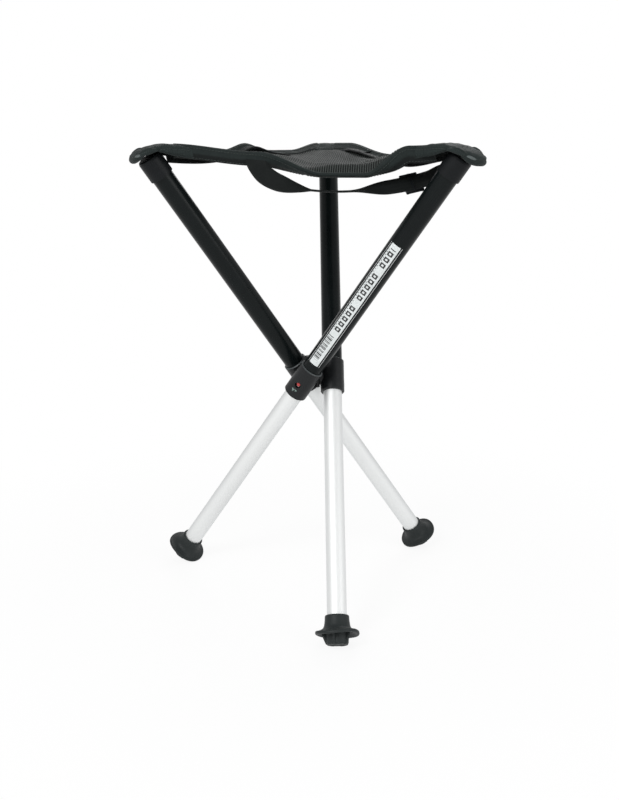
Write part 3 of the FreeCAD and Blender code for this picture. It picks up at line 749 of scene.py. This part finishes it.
def kite_shares(number):
    """Shares over one leg's third of the sheet, from the bent line through the sheet's middle to
    a straight cut inside the corner pocket."""
    first, second = [k for k in LEGS if k != number]
    own, left, right = (np.eye(3)[k - 1] for k in (number, first, second))
    ends = [(own + other) / 2 for other in (left, right)]
    centre = np.full(3, 1 / 3)
    across = np.linspace(-1, 1, 97)[:, None]
    bent = np.where(
        across < 0,
        ends[0] + (centre - ends[0]) * (1 + across),
        centre + (ends[1] - centre) * across,
    )
    spare = 1 - CUT_SHARE
    cut = own * CUT_SHARE + spare * (left * (1 - across) / 2 + right * (1 + across) / 2)
    ahead = np.linspace(0, 1, 81)[:, None, None]
    return bent + (cut - bent) * ahead


BLEND_START, BLEND_END = 54.0, 147.0


def follow(piece, number):
    """Bakes a piece's place into its mesh; the points where it would blend from the hub to the leg
    are worked out but not used.
    """
    foot_point = hub_axis + CORNER_HEIGHT * UP
    start = (foot_point + ways[number] * BLEND_START) * MM
    end = (foot_point + ways[number] * BLEND_END) * MM
    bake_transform(piece)


def seat_panel():
    """Three thirds of the mesh sheet, which meet along lines through the sheet's middle."""
    rib_way = unit(ways[2])
    cross_way = np.cross(rib_way, UP)
    made = {}
    for number in LEGS:
        points = seat_point(kite_shares(number))
        flat = np.stack([(points - hub_axis) @ cross_way, (points - hub_axis) @ rib_way], -1)
        level = np.cross(points[1, 1] - points[0, 1], points[1, 2] - points[1, 1])
        build = Build().grid(points, uv=flat, flip=level[2] > 0)
        piece = build.make("seat_mesh_%d" % number, mesh_cloth, 60.0, closed=False)
        wall(piece, 0.9, 0.0)
        follow(piece, number)
        made[number] = piece
    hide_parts("seat_panel")
    return made


# Edge bands
BAND_PARTS = 76
BAND_TOP = 12.0
BAND_FACE = 9.5
BAND_DROP = 19.5
BAND_TUCK, BAND_LIFT, BAND_TOP_ROWS = 10.5, 0.9, 14
BAND_START = 0.115
BAND_HALF_TOP, BAND_HALF_FACE = 0.55, 1.15
# Headings in degrees of the face and of the fold under it: first upright, then tucked under
FACE_HEADINGS, FOLD_HEADINGS = (100.0, 14.0), (72.0, -4.0)
SEAM_COLUMNS = (2, 9, 20, 38)


def band_flatness(pair, part):
    """0 where the band hangs upright, 1 where it is turned under. The front edge's band stands
    further along on its right than on its left."""
    if pair == (1, 3):
        return eased((part - 0.21) / 0.1) * (1 - eased((part - 0.44) / 0.24))
    return np.sin(math.pi * part) ** 2


def rim_point(pair, part):
    """An edge's own line: between its corners, plus its shift."""
    start, end = (corners[k] for k in pair)
    return start + part[:, None] * (end - start) + edge_shift(pair, part)


def band_section(pair, part):
    """The band's middle line at each place along an edge, as inward, up and along distances: over
    the sheet to the rim, then a path whose heading turns down the face and under the fold."""
    edge = rim_point(pair, part)
    along = unit(rim_point(pair, part + 1e-4) - edge)
    level = unit(np.cross(along, UP))
    level = level * np.sign(level @ inward[pair])[:, None]
    over = np.cross(along, level)
    over = over * np.sign(over[:, 2:])
    flat = band_flatness(pair, part)[:, None]
    tucked = flat * (pair == (1, 3))
    depth = np.linspace(1, 0, BAND_TOP_ROWS) * (BAND_TOP - BAND_TUCK * tucked)
    third = [k for k in LEGS if k not in pair][0]
    shares = np.zeros((len(part), BAND_TOP_ROWS, 3))
    shares[..., third - 1] = depth / seat_depth
    rest = 1 - depth / seat_depth
    shares[..., pair[0] - 1] = (1 - part[:, None]) * rest
    shares[..., pair[1] - 1] = part[:, None] * rest
    top = seat_point(shares) - edge[:, None]
    frames = (level, over, along)
    x, y, z = (np.einsum("ijk,ik->ij", top, way) for way in frames)
    narrow = 3.5 * eased((part[:, None] - 0.3) / 0.4) * (pair == (1, 3))
    walk = np.linspace(0, 1, 30)[1:] * (BAND_DROP - narrow)
    first, last = (low + (high - low) * flat for low, high in (FACE_HEADINGS, FOLD_HEADINGS))
    heading = 180 + (first - 180) * eased(walk / 3.6)
    heading = np.radians(heading + (last - first) * eased((walk - BAND_FACE + 1.5) / 3.0))
    stride = walk[:, 1:2] - walk[:, :1]
    x = np.concatenate([x, x[:, -1:] + np.cumsum(np.cos(heading), 1) * stride], 1)
    y = y + BAND_LIFT
    y = np.concatenate([y, y[:, -1:] - np.cumsum(np.sin(heading), 1) * stride], 1)
    z = np.concatenate([z, np.zeros_like(heading)], 1)
    return edge, frames, np.stack([x, y, z], -1)


def band_normals(line):
    """The outward normals of a section's middle line: its heading turned by a quarter."""
    ahead = unit(np.gradient(line[..., :2], axis=1))
    return np.stack([ahead[..., 1], -ahead[..., 0]], -1)


def in_place(edge, frames, local):
    """A section's points in the stool's frame."""
    moved = sum(local[..., k, None] * frames[k][:, None] for k in range(3))
    return edge[:, None] + moved


def stitches(build, path, outward, pitch=3.4, radius=0.42):
    """A row of sewn stitches: a tube along a path whose radius swells and pinches at each pitch,
    half sunk in the cloth."""
    travel = travelled(path)
    count = int(travel[-1] / pitch)
    fine = np.linspace(0, count * pitch, count * 8 + 1)
    middle = np.stack([np.interp(fine, travel, path[:, k]) for k in range(3)], -1)
    away = np.stack([np.interp(fine, travel, outward[:, k]) for k in range(3)], -1)
    phase = (fine % pitch) / pitch
    swell = np.sqrt(np.clip(np.sin(math.pi * np.clip(phase / 0.78, 0, 1)), 0, 1))
    size = radius * swell
    size[[0, -1]] = 0.0
    middle = middle + unit(away) * (0.2 * radius + 0.35 * size)[:, None]
    ring = tube(middle, np.maximum(size, 0.02), 6)
    build.grid(ring, loop=True, uv=pairs(np.arange(7.0), fine[:, None]))


def edge_bands():
    """Each edge's binding in two halves, one for each corner, with its rows of stitches."""
    cloth, seams = {k: [] for k in LEGS}, {k: Build() for k in LEGS}
    for number, pair in enumerate(SEAT_EDGES, start=1):
        for half, corner in enumerate(pair):
            low, high = ((BAND_START, 0.5), (0.5, 1 - BAND_START))[half]
            part = np.linspace(low, high, BAND_PARTS)
            edge, frames, line = band_section(pair, part)
            normals = band_normals(line)
            walk = np.linspace(0, 1, line.shape[1])
            half_thick = BAND_HALF_TOP + (BAND_HALF_FACE - BAND_HALF_TOP) * eased(walk / 0.4)
            half_thick = half_thick * np.sqrt(1 - np.abs(2 * walk - 1) ** 24 * 0.98)
            ripple = 0.25 * np.sin(part * 61.0 + 5 * number) * np.sin(part * 23.0)
            line[..., 0] += (ripple[:, None] * eased((walk - 0.4) / 0.4)) * 2.0
            offset = normals * half_thick[:, None]
            outer, inner = line.copy(), line.copy()
            outer[..., :2] += offset
            inner[..., :2] -= offset
            ring = np.concatenate([outer, inner[:, ::-1]], 1)
            points = in_place(edge, frames, ring)
            length = np.linspace(low, high, BAND_PARTS)[:, None] * side_length
            profile = np.concatenate([walk, walk[::-1], [0.0]]) * (BAND_TOP + BAND_DROP)
            build = Build().grid(points, loop=True, uv=pairs(profile, length))
            piece = build.make("edge_binding_%d_%d" % (number, half + 1), band_cloth, 70.0)
            cloth[corner].append(piece)
            follow(piece, corner)
            for column in SEAM_COLUMNS:
                row = in_place(edge, frames, outer[:, column : column + 1])[:, 0]
                under = in_place(edge, frames, inner[:, column : column + 1])[:, 0]
                stitches(seams[corner], row, row - under)
    for number, pieces in cloth.items():
        start = {1: 1, 3: 2, 2: 3}[number]
        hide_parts("edge_band_%d" % start)
    return cloth, seams


# Corner pockets
POCKET_START = 145.5
POCKET_TIPS = {1: 222.5, 2: 219.5, 3: 216.5}
NOSE_CENTRE = 196.0
POCKET_TOP = 550.0
POCKET_HALF = 22.0
HEM_HEIGHT, TIP_DROOP = 541.8, 10.5
SHOULDER = 5.0
# Where the pale lining, a painted highlight, shows along the hood
LINING_HIGHLIGHT_START, LINING_HIGHLIGHT_END, LINING_HIGHLIGHT_RADIUS = 0.42, 0.88, 1.7
LINING_HIGHLIGHT_ROW, SEAM_ROW = 23, 22
POCKET_RIM = (
    (145.5, 535.0),
    (160.0, 537.5),
    (176.0, 540.0),
    (186.0, 543.0),
    (198.0, 546.2),
    (206.0, 543.5),
    (212.0, 537.5),
    (216.0, 532.5),
    (223.0, 530.0),
)


def pocket_width(reach):
    """Half the pocket's width: a little narrower at its hem than over the leg's cap."""
    return POCKET_HALF + 0.9 * np.sin(math.pi * np.clip((reach - 150) / 60, 0, 1)) ** 2


def pocket_path(number):
    """The pocket's outline in plan, as reach and side: up one side, round the nose on a half
    ellipse, and back down the other side."""
    straight = np.linspace(POCKET_START, NOSE_CENTRE, 36)[:-1]
    side = pocket_width(straight)
    angle = np.linspace(-math.pi / 2, math.pi / 2, 61)
    width = pocket_width(NOSE_CENTRE)
    reach = NOSE_CENTRE + (POCKET_TIPS[number] - NOSE_CENTRE) * np.cos(angle) ** 0.9
    nose = np.stack([reach, width * np.sin(angle)], -1)
    before = np.stack([straight, -side], -1)
    after = np.stack([straight, side], -1)[::-1]
    return np.concatenate([before, nose, after])


def pocket_top(reach, side):
    """The pocket's top: a low dome that dips into the seat's gutter at its hem and droops at
    its tip, with shallow wrinkles across it."""
    hem = HEM_HEIGHT + 7.0 * (side / 21.0) ** 2
    crown = 1.6 * bell(reach, 180, 16) - (side / POCKET_HALF) ** 2
    dome = POCKET_TOP + crown - TIP_DROOP * np.clip((reach - 184) / 36, 0, 1) ** 1.7
    wrinkle = 0.35 * np.sin(reach * 0.42 + side * 0.21) * np.sin(side * 0.19 + 1.0)
    return hem + (dome - hem) * eased((reach - POCKET_START + 3) / 27) + wrinkle


def pocket_rim(reach):
    """The height of the pocket's lower rim: highest beside the cap, lowest at the tip. Straight
    pieces between listed spots, averaged over a short reach."""
    spots = np.array(POCKET_RIM)
    shifts = np.linspace(-5, 5, 11)
    return np.mean([np.interp(reach + s, spots[:, 0], spots[:, 1]) for s in shifts], axis=0)


def shoulder_drop(inset):
    """How far a quarter round lies under its top, this far in from the outline."""
    bend = np.clip(1 - inset / SHOULDER, 0, 1)
    return SHOULDER * (1 - np.sqrt(1 - bend**2 * 0.98))


def pocket_hem(number, outline, away, rim):
    """A roll of cloth under the hood's rim, thickest at the nose."""
    nose = eased((outline[:, 0] - 190) / 26)[:, None]
    path = rim - away * (0.4 + nose) + 0.6 * nose * UP
    travel = travelled(outline)
    uv = pairs(np.linspace(0, 1, 15) * 12.0, travel[:, None])
    build = Build().grid(tube(path, 1.2 + 2.6 * nose[:, 0], 14), loop=True, uv=uv)
    return build.make("pocket_hem_%d" % number, hem_cloth, 70.0)


def pocket_lining_highlight(number, outline, row):
    """A lens of pale lining on each side of the nose, lighter than the cloth as a painted highlight
    on the hood's fold: a tube that swells by a sine.
    """
    build = Build()
    for side in (-1, 1):
        part = side * outline[:, 1] / POCKET_HALF
        shown = (outline[:, 0] > NOSE_CENTRE) & (part > LINING_HIGHLIGHT_START) & (part < LINING_HIGHLIGHT_END)
        path = row[shown]
        swell = np.sin(math.pi * np.linspace(0, 1, len(path))) ** 0.5
        build.grid(tube(path, np.maximum(LINING_HIGHLIGHT_RADIUS * swell, 0.02), 12), loop=True)
    return build.make("pocket_lining_%d" % number, lining_highlight_cloth, 70.0)


def corner_pocket(leg, seams):
    """A cloth hood over the leg's cap: rows run from a spine out to the outline, over a round
    shoulder and down to the rim. Rows of stitches run along the shoulder and across the hood's
    inner end."""
    number = leg.number
    way, beside = ways[number], np.cross(UP, ways[number])
    outline = pocket_path(number)
    spine = np.stack([np.minimum(outline[:, 0], NOSE_CENTRE), 0 * outline[:, 0]], -1)
    share = 1 - (1 - np.linspace(0, 1, 22)[:, None]) ** 1.6
    plan = spine[:, None] + (outline - spine)[:, None] * share
    gap = np.linalg.norm(outline[:, None] - plan, axis=-1)
    top = pocket_top(plan[..., 0], plan[..., 1]) - shoulder_drop(gap)
    rim = pocket_rim(outline[:, 0])[:, None]
    fall = np.linspace(0, 1, 16)[1:]
    skirt_height = top[:, -1:] + (rim - top[:, -1:]) * fall
    out = unit(outline - spine)
    bulge = 1.3 * np.sin(math.pi * fall) - 0.8 * fall
    skirt = outline[:, None] + out[:, None] * bulge[:, None]
    plan = np.concatenate([plan, skirt], 1)
    height = np.concatenate([top, skirt_height], 1)
    points = hub_axis + plan[..., :1] * way + plan[..., 1:] * beside + height[..., None] * UP
    travel = travelled(outline)
    strides = np.linalg.norm(np.diff(points, axis=1, prepend=points[:, :1]), axis=-1)
    build = Build().grid(points, uv=pairs(travel[:, None], np.cumsum(strides, 1)))
    piece = build.make("pocket_hood_%d" % number, pocket_cloth, 70.0, closed=False)
    wall(piece, 1.5, -1.0)
    away = out[:, :1] * way + out[:, 1:] * beside
    roll = pocket_hem(number, outline, away, points[:, -1])
    highlight_slit = pocket_lining_highlight(number, outline, points[:, LINING_HIGHLIGHT_ROW])
    ends = slice(6, -6)
    stitches(seams, points[ends, SEAM_ROW], away[ends])
    across = np.linspace(-20.0, 20.0, 60)
    for reach in (POCKET_START + 3.0, POCKET_START + 7.0):
        seam = hub_axis + reach * way + across[:, None] * beside
        level = pocket_top(reach, across) - shoulder_drop(POCKET_HALF - np.abs(across))
        stitches(seams, seam + level[:, None] * UP, np.broadcast_to(UP, seam.shape))
    for item in (piece, roll, highlight_slit):
        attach(item, "leg_%d" % number)
    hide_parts("corner_pocket_%d" % number)
    return [piece, roll, highlight_slit]


# Carry strap
STRAP_WIDTH, STRAP_THICKNESS = 25.0, 1.6
STRAP_POLES = (
    (-62.0, -78.5, -16.0),
    (-61.0, -99.0, -56.0),
    (58.0, -92.0, -61.0),
    (145.0, -77.0, -31.5),
)
STRAP_TURNS = (46.0, 35.0, 50.0)
SLIDER_PLACE = 0.865


def strap_point(part):
    """The strap's middle line: a cubic curve drawn by four poles."""
    part = part[:, None]
    rest = 1 - part
    shares = (rest**3, 3 * rest**2 * part, 3 * rest * part**2, part**3)
    base = hub_axis + CORNER_HEIGHT * UP
    return base + sum(share * np.array(pole) for share, pole in zip(shares, STRAP_POLES))


def strap_frame(part):
    """The strap's middle line with its ways along, across and off its face."""
    step = 1e-3
    along = unit(strap_point(part + step) - strap_point(part - step))
    up = unit(UP - along * along[:, 2:])
    back = np.cross(up, along)
    left, slider, right = STRAP_TURNS
    turn = left * np.sin(math.pi * np.clip(part / 0.45, 0, 1)) + slider * eased((part - 0.62) / 0.16)
    turn = np.radians(turn + (right - slider) * eased((part - 0.94) / 0.06))[:, None]
    wide = back * np.cos(turn) + up * np.sin(turn)
    return strap_point(part), along, wide, np.cross(along, wide)


def strap_half(name, low, high, corner):
    """Half of the strap: a rounded flat section along the middle line, a little cupped, its
    edges wavering slightly."""
    part = np.linspace(low, high, 90)
    middle, _, wide, off = strap_frame(part)
    across = np.linspace(-1, 1, 15)
    thick = STRAP_THICKNESS / 2 * np.sqrt(1 - np.abs(across) ** 10 * 0.97)
    cup = 0.6 * across**2
    x = np.concatenate([across, across[::-1]]) * STRAP_WIDTH / 2
    y = np.concatenate([thick + cup, (cup - thick)[::-1]])
    waver = 1 + 0.012 * np.sin(part * 47.0)[:, None]
    ring = middle[:, None] + (x * waver)[..., None] * wide[:, None] + y[:, None] * off[:, None]
    travel = travelled(middle)
    build = Build().grid(ring, loop=True, uv=pairs(np.append(x, x[0]), travel[:, None]))
    piece = build.make(name, webbing, 70.0)
    follow(piece, corner)
    return piece, travel[-1]


STRAP_SPLIT = 0.42
SLIDER_LENGTH, SLIDER_WIDTH, SLIDER_THICKNESS, SLIDER_BAR = 20.0, 30.0, 4.2, 3.2


def bar(build, start, end, wide, thick, off):
    """A rounded bar between two points: a superellipse section carried along it."""
    ahead = unit(end - start)
    beside = unit(np.cross(off, ahead))
    share = np.array([0.0, 0.0, 0.03, 0.97, 1.0, 1.0])
    size = np.array([0.0, 0.82, 1.0, 1.0, 0.82, 0.0])
    angle = np.linspace(0, TURN, 20, endpoint=False)
    x = np.sign(np.cos(angle)) * np.abs(np.cos(angle)) ** 0.5 * wide / 2
    y = np.sign(np.sin(angle)) * np.abs(np.sin(angle)) ** 0.5 * thick / 2
    path = start + (end - start) * share[:, None]
    ring = path[:, None] + size[:, None, None] * (
        x[None, :, None] * beside + y[None, :, None] * off
    )
    build.grid(ring, loop=True)


def strap_slider():
    """A flat frame of three cross bars and two rails; the strap runs over the ends and under
    the middle."""
    middle, along, wide, off = (way[0] for way in strap_frame(np.array([SLIDER_PLACE])))
    build = Build()
    half_length, half_width = SLIDER_LENGTH / 2, SLIDER_WIDTH / 2
    rail = (SLIDER_WIDTH - STRAP_WIDTH) / 2 + 0.2
    for side in (-1, 1):
        base = middle + wide * side * (half_width - rail / 2)
        ends = [base + along * way * half_length for way in (-1, 1)]
        bar(build, ends[0], ends[1], rail, SLIDER_THICKNESS, off)
    for place, lift in ((-1, -1.6), (0, 1.6), (1, -1.6)):
        base = middle + along * place * (half_length - SLIDER_BAR / 2) + off * lift
        ends = [base + wide * way * (half_width - 0.6) for way in (-1, 1)]
        bar(build, ends[0], ends[1], SLIDER_BAR, 2.0, off)
    piece = build.make("webbing_slider", plastic, 50.0)
    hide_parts("strap_slider")
    follow(piece, 1)
    return piece


# Marks beside the lock buttons
BUTTON_ANGLE = 6.0
SLEEVE_RADIUS = 14.6
MARK_RADII = (14.55, 14.72)
# Each arrow head's turn from the button, its tip and base along the leg, and its half width
MARKS = ((-7.0, -12.9, -8.9, 2.0), (7.5, -11.6, -8.6, 1.5))


def lock_mark(leg):
    """Two small raised arrow heads on the sleeve under the button, which point down the leg."""
    build = Build()
    base = math.radians(BUTTON_ANGLE)
    share = np.linspace(0, 1, 9)
    for turn, low, high, half in MARKS:
        height, width = low + (high - low) * share, half * share
        angle = base + math.radians(turn)
        inner, outer = MARK_RADII
        ring = [
            leg.round(radius, angle + side * width / SLEEVE_RADIUS, height)
            for radius, side in ((inner, -1), (inner, 1), (outer, 1), (outer, -1))
        ]
        build.grid(np.stack(ring, 1), loop=True)
    piece = build.make("sleeve_mark_%d" % leg.number, mark_paint, 40.0)
    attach(piece, "leg_%d" % leg.number)


def dress_frame():
    """Finishes for the frame's own pieces, and the printed rules beside the label."""
    for number, leg in legs.items():
        finish, base, height, out, side = tube_finish(leg)
        if number == 1:
            sideways = abs(label_distance(out, side))
            rule = abs(sideways - RULE_DISTANCE).below(0.3) * out.above(0.0)
            rule = rule * height.above(LABEL_LOW) * height.below(LABEL_HIGH)
            base = finish.mix(rule, base, (0.55, 0.56, 0.56))
        finish.set(Base_Color=base)
        finish_node("upper_tube_%d" % number, finish.material)
        finish_node("lower_tube_%d" % number, bright_finish(leg))
        for name, material in (
            ("sleeve", sleeve_finish(leg)),
            ("top_cap", plastic),
            ("tube_plug", hub_plastic),
            ("lock_button", button_red),
            ("lock_spring", steel),
            ("pivot_pin", steel),
            ("cap_rivet", plastic),
            ("foot_disc", steel),
        ):
            finish_node("%s_%d" % (name, number), material)
    finish_node("hub", hub_plastic)
    finish_node("label_strip", label_finish(legs[1]))


dress_frame()
panel = seat_panel()
bindings, seams = edge_bands()
for number, leg in legs.items():
    foot(leg)
    lock_mark(leg)
    pocket_seams = Build()
    corner_pocket(leg, pocket_seams)
    sewn = pocket_seams.make("pocket_stitches_%d" % number, thread, 60.0)
    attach(sewn, "leg_%d" % number)
    band_seams = seams[number].make("band_stitches_%d" % number, thread, 60.0)
    follow(band_seams, number)
strap_left, left_length = strap_half("carry_strap_left", 0.0, STRAP_SPLIT, 3)
strap_right, right_length = strap_half("carry_strap_right", STRAP_SPLIT, 1.0, 1)
slider = strap_slider()
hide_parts("carry_strap")


# Studio
CAMERA_DISTANCE = 1220.0
CAMERA_RISE = 282.1
CAMERA_SWING = 0.77
CAMERA_PITCH = 14.33
CAMERA_ROLL = -0.003
PICTURE_HEIGHT = 800.0
FOCAL_PIXELS = 1008.03
CENTRE_SHIFT = 3.58
SENSOR = 36.0


def camera():
    """A camera at the height of the seat, looking down a little past the hub."""
    hub_height = legs[1].pivot[2]
    swing = math.radians(CAMERA_SWING)
    back = np.array([-math.sin(swing), -math.cos(swing), 0.0])
    place = hub_axis + back * CAMERA_DISTANCE + (hub_height + CAMERA_RISE) * UP
    lens = bpy.data.cameras.new("camera")
    lens.sensor_fit = "VERTICAL"
    lens.sensor_height = SENSOR
    lens.lens = FOCAL_PIXELS / PICTURE_HEIGHT * SENSOR
    lens.shift_x = -CENTRE_SHIFT / PICTURE_HEIGHT
    made = placed("camera", lens)
    made.location = place * MM
    turn = Matrix.Rotation(-swing, 4, "Z") @ Matrix.Rotation(
        math.radians(90 - CAMERA_PITCH), 4, "X"
    )
    made.rotation_euler = (turn @ Matrix.Rotation(CAMERA_ROLL, 4, "Z")).to_euler()
    bpy.context.scene.camera = made


def lamp(name, place, aim, size, power):
    """A square soft white light aimed at a point."""
    light = bpy.data.lights.new(name, "AREA")
    light.size = size
    light.energy = power
    made = placed(name, light)
    made.location = place
    made.rotation_euler = (Vector(aim) - Vector(place)).to_track_quat("-Z", "Y").to_euler()


def backdrop_rays(finish):
    """1 for what is seen straight, mirrored or through glass."""
    kinds = ("Is Camera Ray", "Is Glossy Ray", "Is Transmission Ray")
    rays = [finish.node("LightPath", {}, {}, kind) for kind in kinds]
    return rays[0].maths("MAXIMUM", rays[1]).maths("MAXIMUM", rays[2])


def floor():
    """A pale floor that keeps the stool's soft shadow and turns to plain white further out."""
    size = 40.0
    mesh = bpy.data.meshes.new("floor")
    spots = [(-size, -size, 0), (size, -size, 0), (size, size, 0), (-size, size, 0)]
    mesh.from_pydata(spots, [], [(0, 1, 2, 3)])
    made = placed("floor", mesh)
    finish = Finish("pale_floor", (0.9, 0.9, 0.9), 0.9)
    place = finish.coordinates()
    length = finish.node("VectorMath", {"operation": "LENGTH"}, {0: place}, "Value")
    white = finish.node("Emission", {}, {"Color": (1, 1, 1, 1), "Strength": 1.0})
    share = (0.9 + 0.1 * length.step(0.2, 0.7)) * backdrop_rays(finish)
    shader = Signal(finish, finish.surface.outputs[0])
    mixed = finish.node("MixShader", {}, {0: share, 1: shader, 2: white})
    output = finish.tree.nodes["Material Output"]
    finish.tree.links.new(mixed.socket, output.inputs["Surface"])
    mesh.materials.append(finish.material)


def surroundings():
    """A white room: plain white where it is seen, and a softer, shaded white as light."""
    world = bpy.data.worlds.new("room")
    world.use_nodes = True
    bpy.context.scene.world = world
    room = Nodes(world.node_tree)
    back = world.node_tree.nodes["Background"]
    straight = room.node("LightPath", {}, {}, "Is Camera Ray")
    way = room.node("TexCoord", {}, {}, "Generated")
    high = room.node("SeparateXYZ", {}, {0: way}, 2)
    near = room.node("SeparateXYZ", {}, {0: way}, 1)
    tone = 0.78 - 0.4 * high.step(-0.1, 0.8) + 0.12 * (near * -1.0).step(-0.6, 0.8)
    room.feed(back.inputs["Strength"], straight + (1.0 - straight) * tone)
    back.inputs["Color"].default_value = (1.0, 1.0, 1.0, 1.0)


camera()
floor()
surroundings()
lamp("key_light", (-1.1, -1.5, 1.7), (0, 0, 0.35), 0.9, 26.0)
lamp("fill_light", (1.6, -1.1, 1.0), (0, 0, 0.3), 1.1, 9.0)
lamp("back_light", (0.4, 1.7, 1.5), (0, 0, 0.4), 1.0, 12.0)
bpy.context.scene.view_settings.view_transform = "Standard"
